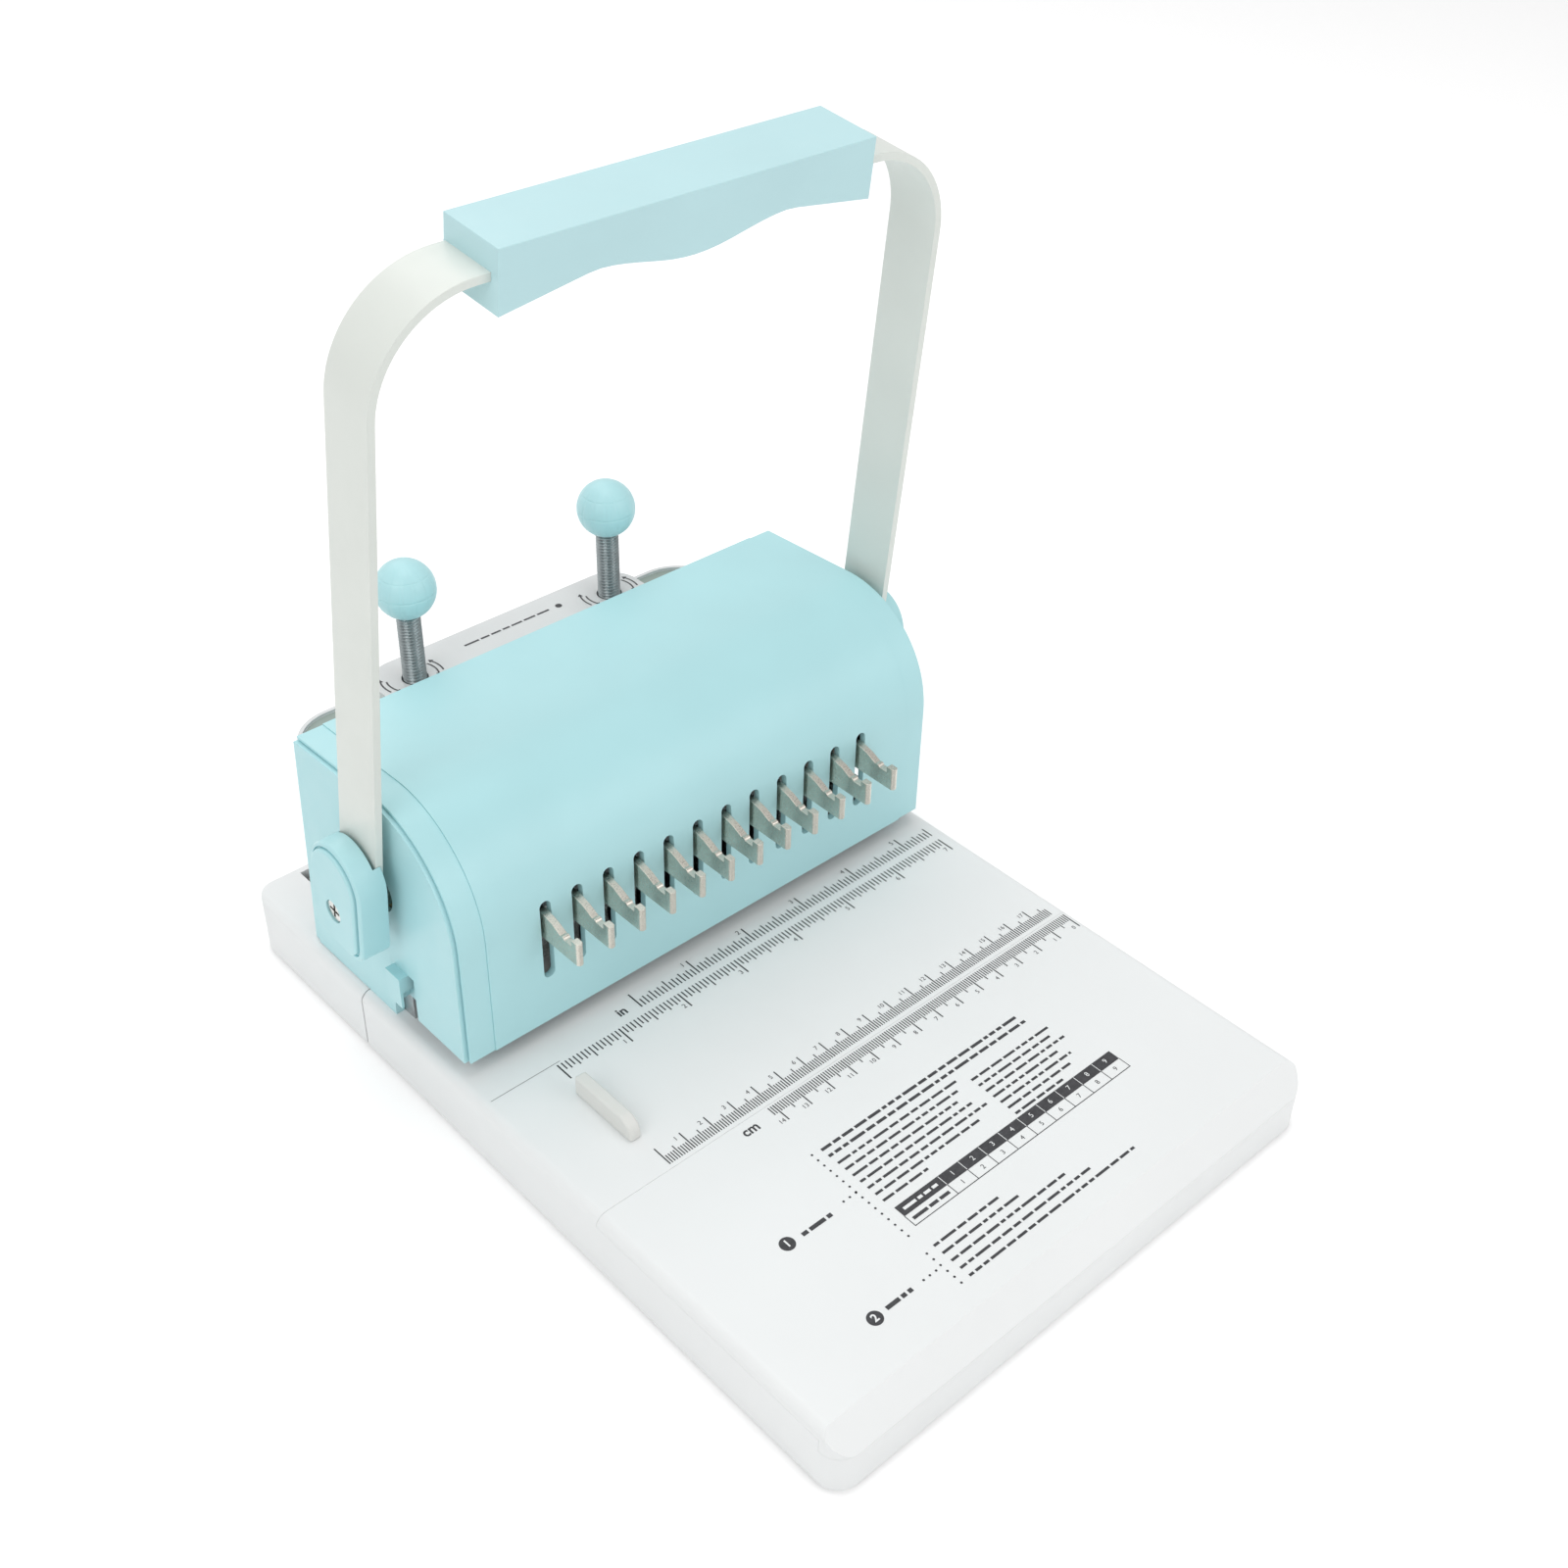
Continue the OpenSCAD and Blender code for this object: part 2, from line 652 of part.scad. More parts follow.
// Side outline of an end cap with the throat, the notch and the space under the catch
module cap_outline(inset) {
    difference() {
        union() {
            cover_section(cap_drop + inset, cover_y1, table_h);
            polygon([[cover_y1 - 1, table_h], [cover_y1 + cap_back, table_h],
                     [cover_y1, rear_top - cover_wall], [cover_y1 - 1, rear_top - cover_wall]]);
        }
        translate([cover_y0 - 1, table_h - 1]) square([throat_d + 2, throat_h + 1]);
        translate([throat_y, table_h - 1]) square([catch_gap, notch_h + 1]);
        translate([throat_y, table_h - 1]) square([foot_back, catch_up + 1]);
    }
}

// Groove inside the edge step of an end cap
module cap_groove() {
    along_x(cap_x - cap_step - cap_groove_d, cap_x) difference() {
        cap_outline(cap_step - cap_groove_w);
        cap_outline(cap_step);
    }
}

module right_cap() color(aqua) difference() {
    union() {
        difference() {
            union() {
                along_x(seam_x, cap_x - cap_step) cap_outline(0);
                along_x(cap_x - cap_step - 1, cap_x) cap_outline(cap_step);
            }
            along_x(seam_x - 1, cap_in_x) cover_section(cover_wall, cover_y1 - cover_wall, table_h - 1);
            cap_groove();
        }
        // Lip behind the cover seam
        intersection() {
            union() {
                along_x(seam_x - seam_lip, seam_x) cover_skin(cover_wall + 0.1, 2 * cover_wall);
                along_x(seam_x, seam_x + 3) cover_skin(cover_wall - 0.5, 2 * cover_wall);
            }
            block([0, 0, 0], [cap_x, cover_y1 - cover_wall - fit_gap, cover_z1]);
        }
        // Rear edge that meets the rear panel
        block([rear_half - rear_t, cover_y1 - cover_wall, table_h + fit_gap], [seam_x + 1, cover_y1, low_z1]);
        // Foot that flares out to the edge of the base
        along_y(throat_y + foot_back, cover_y1 + cap_back / 2) polygon([
            [cap_x - 1, table_h], [cap_x + heel_out, table_h], [cap_x + heel_out, table_h + 1.5],
            [cap_x + heel_out * 0.45, table_h + heel_h * 0.35], [cap_x, table_h + heel_h], [cap_x - 1, table_h + heel_h]]);
        // Square catch beside the notch
        block([cap_x - 1, catch_y0, table_h + catch_up], [cap_x + catch_out, catch_y0 + catch_w, table_h + notch_h]);
    }
    // Slot in the front of the catch
    block([cap_in_x + 0.5, catch_y0 - 1, table_h + catch_up - 1],
          [cap_x + catch_out - 1, catch_y0 + catch_w / 2, table_h + (catch_up + notch_h) / 2]);
    translate([cap_in_x - 1, pivot_y, pivot_z]) rotate([0, 90, 0]) cylinder(d = shaft_d + 4, h = 20);
}

module right_end_cap() right_cap();

module left_end_cap() mirror([1, 0, 0]) right_cap();

// Plan behind the cover with round rear corners, drawn in by an inset
module rear_plan(half, r, inset, y0) {
    corner_y = cover_y1 + rear_d - r;
    translate([-half + inset, y0]) square([2 * (half - inset), corner_y - y0]);
    translate([-half + r, y0]) square([2 * (half - r), corner_y + r - inset - y0]);
    for (x = [-1, 1]) translate([x * (half - r), corner_y]) intersection() {
        circle(r - inset);
        translate([-r, -0.01]) square(2 * r);
    }
}

module rear_panel() color("gainsboro") difference() {
    translate([0, 0, table_h + fit_gap]) {
        linear_extrude(low_z1 - table_h - fit_gap) rear_plan(rear_half, rear_r, 0, cover_y1);
        linear_extrude(rear_h - fit_gap) rear_plan(hump_half_w, hump_r, 0, cover_y1);
    }
    translate([0, 0, table_h]) {
        linear_extrude(low_z1 - table_h - rear_t) rear_plan(rear_half, rear_r, rear_t, cover_y1 - 1);
        linear_extrude(rear_h - rear_t) rear_plan(hump_half_w, hump_r, rear_t, cover_y1 - 1);
    }
    // Low corners inside their rim
    translate([0, 0, low_z1 - low_rim_h]) linear_extrude(low_rim_h + 1) difference() {
        rear_plan(rear_half, rear_r, low_rim_w, cover_y1 - 1);
        rear_plan(hump_half_w, hump_r, 0, cover_y1 - 2);
    }
    for (x = [-1, 1]) translate([x * spindle_x, spindle_y, table_h]) cylinder(d = spindle_d + 1, h = rear_h + 1);
}

module screw_nuts() color(steel) for (x = [-1, 1]) translate([x * spindle_x, spindle_y, rear_z1 - rear_t - nut_t])
    difference() {
        cylinder(d = nut_s / cos(30), h = nut_t, $fn = 6);
        translate([0, 0, -1]) cylinder(d = spindle_d + 2 * run_gap, h = nut_t + 2);
    }

module clamp_shelf() color(steel) translate([0, 0, shelf_z1 - shelf_t]) linear_extrude(shelf_t) {
    rear_plan(rear_half, rear_r, rear_t + 0.2, cover_y1 - cover_wall - 1);
    translate([-plate_in_x, cover_y1 - 15]) square([2 * plate_in_x, 15 - cover_wall - fit_gap]);
}

module depth_stop() color(steel) {
    stop_y1 = spindle_y + 2.8;
    block([-stop_half_w, leg_y0, shelf_z1], [stop_half_w, stop_y1, stop_z1]);
    block([-stop_half_w, leg_y0, table_h + fit_gap], [stop_half_w, leg_y0 + stop_t, stop_z1]);
    block([-lip_half_w, lip_y0, table_h + fit_gap], [lip_half_w, leg_y0 + stop_t, table_h + paper_gap - fit_gap]);
}

module right_plate() color(steel) difference() {
    union() {
        along_x(plate_in_x, plate_x) difference() {
            cover_section(cover_wall + 0.4, cover_y1 - plate_back, table_h);
            translate([cover_y0 - 1, table_h - 1]) square([heel_y0 - cover_y0 + 1, throat_h + 2]);
            translate([throat_y - 1, table_h - 1]) square([notch_w + 1, notch_h + 2]);
            translate([seam_y - 1, table_h - 1]) square([cover_d, 2]);
        }
        block([plate_in_x - flange_w, flange_y0, table_h], [plate_x, flange_y1, table_h + flange_t]);
    }
    translate([0, pivot_y, pivot_z]) rotate([0, 90, 0]) cylinder(d = shaft_d + 2 * bush_wall + 0.04, h = side_x);
    at_frame_screws() translate([0, 0, table_h - 1]) cylinder(d = frame_screw_d + 2 * fit_gap, h = flange_t + 2);
}

module right_side_plate() right_plate();

module left_side_plate() mirror([1, 0, 0]) right_plate();

module right_bushing() color("goldenrod") translate([0, pivot_y, pivot_z]) rotate([0, 90, 0]) difference() {
    union() {
        translate([0, 0, plate_in_x]) cylinder(d = shaft_d + 2 * bush_wall, h = side_t);
        translate([0, 0, plate_in_x - 2]) cylinder(d = shaft_d + 2 * bush_wall + 5, h = 2);
    }
    cylinder(d = shaft_d + 2 * run_gap, h = side_x);
}

module right_bush() right_bushing();

module left_bush() mirror([1, 0, 0]) right_bushing();

module frame_screws() color(steel) at_frame_screws() {
    translate([0, 0, die_z0]) cylinder(d = frame_screw_d, h = table_h + flange_t - die_z0);
    translate([0, 0, table_h + flange_t]) cylinder(d = frame_screw_d * 1.8, h = frame_head_h);
}

module guide_rods() color("silver") for (x = [-rod_x, rod_x]) translate([x, punch_y, stripper_z0])
    cylinder(d = rod_d, h = ram_z0 + ram_h + 4 - stripper_z0);

// Rings of a tube bent round a helix
function coil_ring(a, turns, length, r, wire, sides) = [
    for (k = [0 : sides - 1])
        let (b = 360 * k / sides, q = r + wire / 2 * cos(b))
        [q * cos(a), q * sin(a), length * a / (360 * turns) + wire / 2 * sin(b)]
];

module coil(turns, length, r, wire) {
    sides = 6;
    per_turn = 10;
    rings = turns * per_turn;
    points = [for (i = [0 : rings]) each coil_ring(360 * i / per_turn, turns, length, r, wire, sides)];
    walls = [for (i = [0 : rings - 1], k = [0 : sides - 1])
        let (n = (k + 1) % sides, p = i * sides)
        each [[p + k, p + n, p + sides + k], [p + n, p + sides + n, p + sides + k]]];
    ends = [for (k = [1 : sides - 2]) each [[0, k + 1, k], [rings * sides, rings * sides + k, rings * sides + k + 1]]];
    polyhedron(points, concat(walls, ends));
}

module return_springs() color("silver") for (x = [-rod_x, rod_x]) translate([x, punch_y, spring_z0])
    coil(spring_turns, spring_l, spring_d / 2, wire_d);

module ram_bar() color(steel) difference() {
    block([-ram_half_w, ram_y0, ram_z0], [ram_half_w, ram_y1, ram_z0 + ram_h]);
    punch_holes(ram_z0 - 1, ram_z0 + punch_seat + punch_gap);
    for (x = [-rod_x, rod_x]) translate([x, punch_y, ram_z0 - 1]) cylinder(d = rod_d + 2 * run_gap, h = ram_h + 2);
}

module punches() color("silver") at_hooks()
    block([-punch_w / 2, punch_y - punch_d / 2, punch_z0], [punch_w / 2, punch_y + punch_d / 2, ram_z0 + punch_seat]);

// Section of a rack with its tooth spaces centred on the pivot height
module rack_section() {
    rack_z0 = pivot_z - rack_h / 3;
    half_root = rack_pitch / 4 - backlash / 4 + rack_root * tan(20);
    half_tip = rack_pitch / 4 - backlash / 4 - rack_top * tan(20);
    root_y = ram_y1 + rack_back;
    tip_y = root_y + rack_root + rack_top;
    intersection() {
        union() {
            translate([ram_y1, rack_z0]) square([rack_back, rack_h]);
            for (i = [-3 : 6]) translate([root_y, pivot_z + (i + 0.5) * rack_pitch])
                polygon([[-0.5, -half_root], [0, -half_root], [tip_y - root_y, -half_tip],
                         [tip_y - root_y, half_tip], [0, half_root], [-0.5, half_root]]);
        }
        translate([ram_y1 - 1, rack_z0]) square([rack_back + 2 * rack_root + 2, rack_h]);
    }
}

module right_rack() color(steel) along_x(pinion_x - pinion_w / 2, pinion_x + pinion_w / 2) rack_section();

module left_rack() mirror([1, 0, 0]) right_rack();

// Flank of a pinion tooth at a radius, as an angle from the tooth middle
function flank(r) =
    let (base_r = pinion_r * cos(20), a = acos(min(1, base_r / max(r, base_r))))
    90 / pinion_teeth - backlash / 4 / pinion_r * 180 / PI + (tan(20) - 20 * PI / 180) * 180 / PI
    - (tan(a) - a * PI / 180) * 180 / PI;

module pinion_section() {
    root_r = pinion_r - 1.15 * gear_module;
    tip_r = pinion_r + gear_module;
    radii = [for (i = [0 : 6]) root_r - 0.4 + (tip_r - root_r + 0.4) * i / 6];
    difference() {
        union() {
            circle(root_r);
            for (t = [0 : pinion_teeth - 1]) rotate(360 * t / pinion_teeth) polygon(concat(
                [for (r = radii) [-r * cos(flank(r)), r * sin(flank(r))]],
                [for (i = [6 : -1 : 0]) [-radii[i] * cos(flank(radii[i])), -radii[i] * sin(flank(radii[i]))]]));
        }
        circle(d = shaft_d + 0.04);
    }
}

module right_pinion() color(steel) translate([0, pivot_y, pivot_z])
    along_x(pinion_x - pinion_w / 2, pinion_x + pinion_w / 2) pinion_section();

module left_pinion() mirror([1, 0, 0]) right_pinion();

module main_shaft() color("silver") translate([0, pivot_y, pivot_z]) rotate([0, 90, 0]) difference() {
    union() {
        translate([0, 0, -shaft_half]) cylinder(d = shaft_d, h = 2 * shaft_half);
        translate([0, 0, -bar_x]) rotate([0, 0, lean])
            translate([-square_s / 2, -square_s / 2, 0]) cube([square_s, square_s, 2 * bar_x]);
    }
    for (m = [0, 1]) mirror([0, 0, m]) translate([0, 0, bar_x - hub_screw_l]) cylinder(d = hub_screw_d + 0.1, h = 40);
}

// Frame of the handle, with the shaft at its origin and its length upright
module handle_frame() {
    translate([0, pivot_y, pivot_z]) rotate([lean, 0, 0]) children();
}

// Half outline of the bow drawn in by a distance, from the foot to the middle of the top
function bow_side(inset) =
    let (r = bend_r - inset)
    concat([[bar_x - inset / cos(side_slope) + tan(side_slope) * bar_tail, -bar_tail]],
           [for (i = [0 : 20]) let (a = side_slope + (90 - side_slope) * i / 20) [bow_x + r * cos(a), bow_z + r * sin(a)]]);

function mirrored(points) = [for (i = [len(points) - 1 : -1 : 0]) [-points[i].x, points[i].y]];

function reversed(points) = [for (i = [len(points) - 1 : -1 : 0]) points[i]];

module handle_bar() color(bar_grey) handle_frame() difference() {
    along_y(-bar_w / 2, bar_w / 2) polygon(concat(
        bow_side(0), mirrored(bow_side(0)), reversed(mirrored(bow_side(bar_t))), reversed(bow_side(bar_t))));
    for (m = [0, 1]) mirror([m, 0, 0])
        block([shaft_half - 5, -square_s / 2 - 0.05, -square_s / 2 - 0.05], [bar_x + 5, square_s / 2 + 0.05, square_s / 2 + 0.05]);
    for (x = [-1, 1]) translate([x * dip_x, 0, bar_top - bar_t - 1]) cylinder(d = grip_screw_d + 0.4, h = bar_t + 2);
}

module grip_top() color(aqua) handle_frame() difference() {
    block([-grip_l / 2, grip_mid - grip_d / 2, bar_top], [grip_l / 2, grip_mid + grip_d / 2, bar_top + grip_up]);
    for (x = [-1, 1]) translate([x * dip_x, 0, bar_top - 1]) cylinder(d = grip_screw_d + 0.1, h = 6);
}

// Depth of the lower grip half at a distance from its middle
function grip_depth(x) = abs(x) < dip_x
    ? (grip_down + grip_dip) / 2 + (grip_down - grip_dip) / 2 * cos(180 * x / dip_x)
    : grip_dip + (grip_down - grip_dip) * (abs(x) - dip_x) / (grip_l / 2 - dip_x);

module grip_bottom() color(aqua) handle_frame() difference() {
    along_y(grip_mid - grip_d / 2, grip_mid + grip_d / 2) polygon(concat(
        [[grip_l / 2, bar_top], [-grip_l / 2, bar_top]],
        [for (i = [-16 : 16]) let (x = i * grip_l / 32) [x, bar_top - grip_depth(x)]]));
    block([-grip_l, -bar_w / 2 - 0.1, bar_top - bar_t - 0.1], [grip_l, bar_w / 2 + 0.1, bar_top + 1]);
    for (x = [-1, 1]) translate([x * dip_x, 0, bar_top - 20]) {
        cylinder(d = grip_screw_d + 0.4, h = 30);
        cylinder(d = grip_screw_d * 2, h = 20 - grip_dip + 1.4);
    }
}

module grip_screws() color("silver") handle_frame() for (x = [-1, 1]) translate([x * dip_x, 0, bar_top - grip_dip]) {
    translate([0, 0, 1.4]) cylinder(d = grip_screw_d, h = grip_dip + 3);
    cylinder(d = grip_screw_d * 1.8, h = 1.4);
}

// Face outline of a hub with a round top, drawn in the YZ plane
module hub_outline(inset) {
    half = hub_w / 2 - inset;
    translate([0, hub_up - hub_w / 2]) circle(half);
    translate([-half, -hub_down + inset + hub_corner_r]) square([2 * half, hub_up + hub_down - hub_w / 2 - inset - hub_corner_r]);
    round_rect([-half, -hub_down + inset], [half, 0], hub_corner_r);
}

module right_hub_cover() color(aqua) handle_frame() difference() {
    union() {
        along_x(hub_in_x, hub_x - hub_face_t) hub_outline(0);
        along_x(hub_x - hub_face_t - 1, hub_x) hub_outline(hub_border);
    }
    // Groove round the raised face
    along_x(hub_x - hub_face_t - hub_groove_d, hub_x) difference() {
        hub_outline(hub_border - hub_groove_w);
        hub_outline(hub_border);
    }
    // Pocket for the foot of the bar
    block([hub_in_x - 1, -bar_w / 2 - 0.1, -bar_tail - 0.1], [bar_x + 0.6, bar_w / 2 + 0.1, hub_up + 1]);
    rotate([0, 90, 0]) cylinder(d = hub_screw_d + 0.4, h = hub_x + 1);
    translate([hub_x - hub_head_h - 0.6, 0, 0]) rotate([0, 90, 0]) cylinder(d = hub_head_d + 0.6, h = 10);
}

module right_hub() right_hub_cover();

module left_hub() mirror([1, 0, 0]) right_hub_cover();

module hub_screws() color("silver") handle_frame() for (m = [0, 1]) mirror([m, 0, 0]) rotate([0, 90, 0]) difference() {
    union() {
        translate([0, 0, hub_x - hub_head_h - 0.6]) cylinder(d = hub_head_d, h = hub_head_h);
        translate([0, 0, bar_x - hub_screw_l + 1]) cylinder(d = hub_screw_d, h = hub_x - bar_x + hub_screw_l - hub_head_h);
    }
    for (a = [0, 90]) rotate(a) translate([-2.6, -0.5, hub_x - 2.2]) cube([5.2, 1, 3]);
}

module hook_bar() color(steel) difference() {
    half = hook_pitch * (hook_count - 1) / 2 + 6;
    block([-half, ram_y0 - hook_bar_t, hook_z0 - 3], [half, ram_y0, hook_z0 + hook_root_h + 2]);
    at_hooks() block([-hook_t / 2 - 0.05, ram_y0 - hook_bar_t - 1, hook_z0 - 0.05],
                     [hook_t / 2 + 0.05, ram_y0 + 1, hook_z0 + hook_root_h + 0.05]);
}

// Side outline of a hook, from the ram to the middle of its round front edge
module hook_outline() {
    edge_y = hook_tip_y + hook_t / 2;
    saddle_y = hook_tip_y + hook_tip_w;
    bead_y = cover_y0 - bead_out;
    bead_h = hook_saddle_h - bead_r / 3;
    translate([0, hook_z0]) {
        polygon([[ram_y0, 0], [edge_y, 0], [edge_y, hook_tip_h], [saddle_y, hook_tip_h], [saddle_y, hook_saddle_h],
                 [bead_y, hook_saddle_h], [bead_y + bead_r * 0.6, bead_h + bead_r * 0.8],
                 [cover_y0 - bead_out / 2, hook_root_h - 1.3], [cover_y0, hook_root_h], [ram_y0, hook_root_h]]);
        translate([bead_y, bead_h]) circle(bead_r);
    }
}

module hooks() color("silver") at_hooks() {
    along_x(-hook_t / 2, hook_t / 2) hook_outline();
    translate([0, hook_tip_y + hook_t / 2, hook_z0]) cylinder(d = hook_t, h = hook_tip_h);
}

module right_foot_disc() color(steel) translate([spindle_x, spindle_y, foot_z0]) difference() {
    cylinder(d = clamp_d, h = clamp_t);
    translate([0, 0, clamp_t - tip_l]) cylinder(d = tip_d + 2 * run_gap, h = clamp_t);
}

module right_screw() color("gray") translate([spindle_x, spindle_y, 0]) {
    translate([0, 0, foot_z0 + clamp_t - tip_l + 0.05]) cylinder(d = tip_d, h = tip_l + 1);
    translate([0, 0, foot_z0 + clamp_t + 0.1]) cylinder(d = spindle_d, h = knob_z - 2 - foot_z0 - clamp_t - 0.1);
}

module right_ball() color(aqua) translate([spindle_x, spindle_y, knob_z]) difference() {
    sphere(d = knob_d);
    translate([0, 0, -knob_d]) cylinder(d = spindle_d + 0.04, h = knob_d - 2);
    translate([-knob_d, -knob_d, -knob_d * 1.45]) cube([2 * knob_d, 2 * knob_d, knob_d]);
}

module right_clamp_foot() right_foot_disc();

module left_clamp_foot() mirror([1, 0, 0]) right_foot_disc();

module right_spindle() right_screw();

module left_spindle() mirror([1, 0, 0]) right_screw();

module right_knob() right_ball();

module left_knob() mirror([1, 0, 0]) right_ball();

module paper_guide() color("ivory") translate([-guide_x, cover_y0 - guide_back - guide_l / 2, table_h])
    along_x(-guide_t / 2, guide_t / 2) intersection() {
        translate([-guide_l / 2, 0]) square([guide_l, guide_h]);
        union() {
            translate([-guide_l / 2 + guide_r, 0]) square([guide_l - guide_r, guide_h]);
            translate([-guide_l / 2, 0]) square([guide_r, guide_h - guide_r]);
            translate([-guide_l / 2 + guide_r, guide_h - guide_r]) circle(guide_r);
        }
    }

base_shell();
front_panel();
bottom_plate();
bottom_screws();
feet();
chip_drawer();
die_plate();
stripper_plate();
left_side_plate();
right_side_plate();
left_bush();
right_bush();
frame_screws();
guide_rods();
return_springs();
cover();
left_end_cap();
right_end_cap();
rear_panel();
screw_nuts();
clamp_shelf();
depth_stop();
main_shaft();
left_pinion();
right_pinion();
handle_bar();
grip_top();
grip_bottom();
grip_screws();
left_hub();
right_hub();
hub_screws();
ram_bar();
left_rack();
right_rack();
punches();
hook_bar();
hooks();
left_clamp_foot();
left_spindle();
left_knob();
right_clamp_foot();
right_spindle();
right_knob();
paper_guide();
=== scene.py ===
"""Looks of the desk punch binding machine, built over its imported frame."""

import json
import math

import bmesh
import bpy
from mathutils import Matrix, Vector


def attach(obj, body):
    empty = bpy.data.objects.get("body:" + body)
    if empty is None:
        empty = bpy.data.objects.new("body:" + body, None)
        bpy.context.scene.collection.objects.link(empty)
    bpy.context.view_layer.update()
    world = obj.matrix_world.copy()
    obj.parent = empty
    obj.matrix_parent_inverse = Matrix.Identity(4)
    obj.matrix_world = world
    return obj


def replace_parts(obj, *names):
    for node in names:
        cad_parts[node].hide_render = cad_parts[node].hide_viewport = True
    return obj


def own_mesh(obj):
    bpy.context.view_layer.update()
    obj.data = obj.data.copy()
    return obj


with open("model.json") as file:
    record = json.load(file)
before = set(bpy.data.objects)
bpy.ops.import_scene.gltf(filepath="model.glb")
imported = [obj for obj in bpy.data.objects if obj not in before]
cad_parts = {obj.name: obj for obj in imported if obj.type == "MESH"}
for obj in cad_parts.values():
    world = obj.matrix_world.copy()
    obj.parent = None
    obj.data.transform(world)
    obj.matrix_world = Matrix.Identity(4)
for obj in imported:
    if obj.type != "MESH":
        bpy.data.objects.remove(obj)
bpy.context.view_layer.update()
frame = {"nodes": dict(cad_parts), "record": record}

MM = 0.001
NODES = frame["nodes"]
RECORD = frame["record"]
BODY_OF = {n: b for b, names in RECORD["behaviour"]["bodies"].items() for n in names}

# Places on the machine, in mm

TABLE_Z = 25.0
PANEL_TOP_Z = 99.0
LOW_FLOOR_Z = 89.5
SPINDLE_X = 42.8
SPINDLE_Y = 132.5
KNOB_Z = 134.8
PIVOT = Vector((0.0, 67.0, 78.0))
LEAN = math.radians(6.8)

# Height of print and of the painted shade sheet over the face they lie on, in mm

PRINT_LIFT = 0.06
PALE_LIFT = 0.09
SHADE_SHEET_LIFT = 0.04


# Materials

NOISE_LOW, NOISE_HIGH = 0.3, 0.7
WHITE_RGBA = (1.0, 1.0, 1.0, 1.0)


def new_material(name, colour, rough, metal=0.0):
    mat = bpy.data.materials.new(name)
    mat.use_nodes = True
    mat.diffuse_color = (*colour, 1.0)
    bsdf = mat.node_tree.nodes["Principled BSDF"]
    bsdf.inputs["Base Color"].default_value = (*colour, 1.0)
    bsdf.inputs["Roughness"].default_value = rough
    bsdf.inputs["Metallic"].default_value = metal
    return mat, mat.node_tree, bsdf


def coords(tree, stretch=(1.0, 1.0, 1.0)):
    """Object coordinates in metres, stretched along each axis."""
    where = tree.nodes.new("ShaderNodeTexCoord")
    mapping = tree.nodes.new("ShaderNodeMapping")
    mapping.inputs["Scale"].default_value = stretch
    tree.links.new(where.outputs["Object"], mapping.inputs["Vector"])
    return mapping.outputs["Vector"]


def noise(tree, vector, scale, detail, rough=0.5):
    node = tree.nodes.new("ShaderNodeTexNoise")
    node.inputs["Scale"].default_value = scale
    node.inputs["Detail"].default_value = detail
    node.inputs["Roughness"].default_value = rough
    tree.links.new(vector, node.inputs["Vector"])
    return node.outputs["Fac"]


def roughen(tree, value, distance, strength, bsdf):
    """Bumps as deep as a distance in metres."""
    bump = tree.nodes.new("ShaderNodeBump")
    bump.inputs["Strength"].default_value = strength
    bump.inputs["Distance"].default_value = distance
    tree.links.new(value, bump.inputs["Height"])
    tree.links.new(bump.outputs["Normal"], bsdf.inputs["Normal"])


def mottle(tree, value, colour, amount, bsdf):
    """Varies a colour a little lighter and darker with a noise value."""
    ramp = tree.nodes.new("ShaderNodeValToRGB")
    dark, light = ramp.color_ramp.elements[0], ramp.color_ramp.elements[1]
    dark.position = NOISE_LOW
    light.position = NOISE_HIGH
    dark.color = (*[c * (1 - amount) for c in colour], 1.0)
    light.color = (*[min(1.0, c * (1 + amount)) for c in colour], 1.0)
    tree.links.new(value, ramp.inputs["Fac"])
    tree.links.new(ramp.outputs["Color"], bsdf.inputs["Base Color"])


def vary_gloss(tree, value, low, high, bsdf):
    """Moves the roughness between two values with a noise value."""
    node = tree.nodes.new("ShaderNodeMapRange")
    ends = {"From Min": NOISE_LOW, "From Max": NOISE_HIGH, "To Min": low, "To Max": high}
    for key, number in ends.items():
        node.inputs[key].default_value = number
    tree.links.new(value, node.inputs["Value"])
    tree.links.new(node.outputs["Result"], bsdf.inputs["Roughness"])


def plastic(name, colour, rough, grain=2200.0, depth=0.00002, vary=0.02):
    """Moulded plastic with a fine spark texture and slight colour drift."""
    ior, strength, drift, gloss, gloss_span = 1.48, 0.6, 22.0, 160.0, 0.06
    mat, tree, bsdf = new_material(name, colour, rough)
    bsdf.inputs["IOR"].default_value = ior
    vector = coords(tree)
    roughen(tree, noise(tree, vector, grain, 3.0), depth, strength, bsdf)
    mottle(tree, noise(tree, vector, drift, 3.0), colour, vary, bsdf)
    vary_gloss(tree, noise(tree, vector, gloss, 2.0), rough - gloss_span, rough + gloss_span, bsdf)
    return mat


def painted(name, colour, rough):
    """Powder paint with a faint orange peel."""
    coat, coat_rough = 0.15, 0.25
    peel, depth, strength, drift, vary, gloss, gloss_span = 900.0, 0.00003, 0.5, 30.0, 0.02, 220.0, 0.07
    mat, tree, bsdf = new_material(name, colour, rough)
    bsdf.inputs["Coat Weight"].default_value = coat
    bsdf.inputs["Coat Roughness"].default_value = coat_rough
    vector = coords(tree)
    roughen(tree, noise(tree, vector, peel, 2.0), depth, strength, bsdf)
    mottle(tree, noise(tree, vector, drift, 3.0), colour, vary, bsdf)
    vary_gloss(tree, noise(tree, vector, gloss, 2.0), rough - gloss_span, rough + gloss_span, bsdf)
    return mat


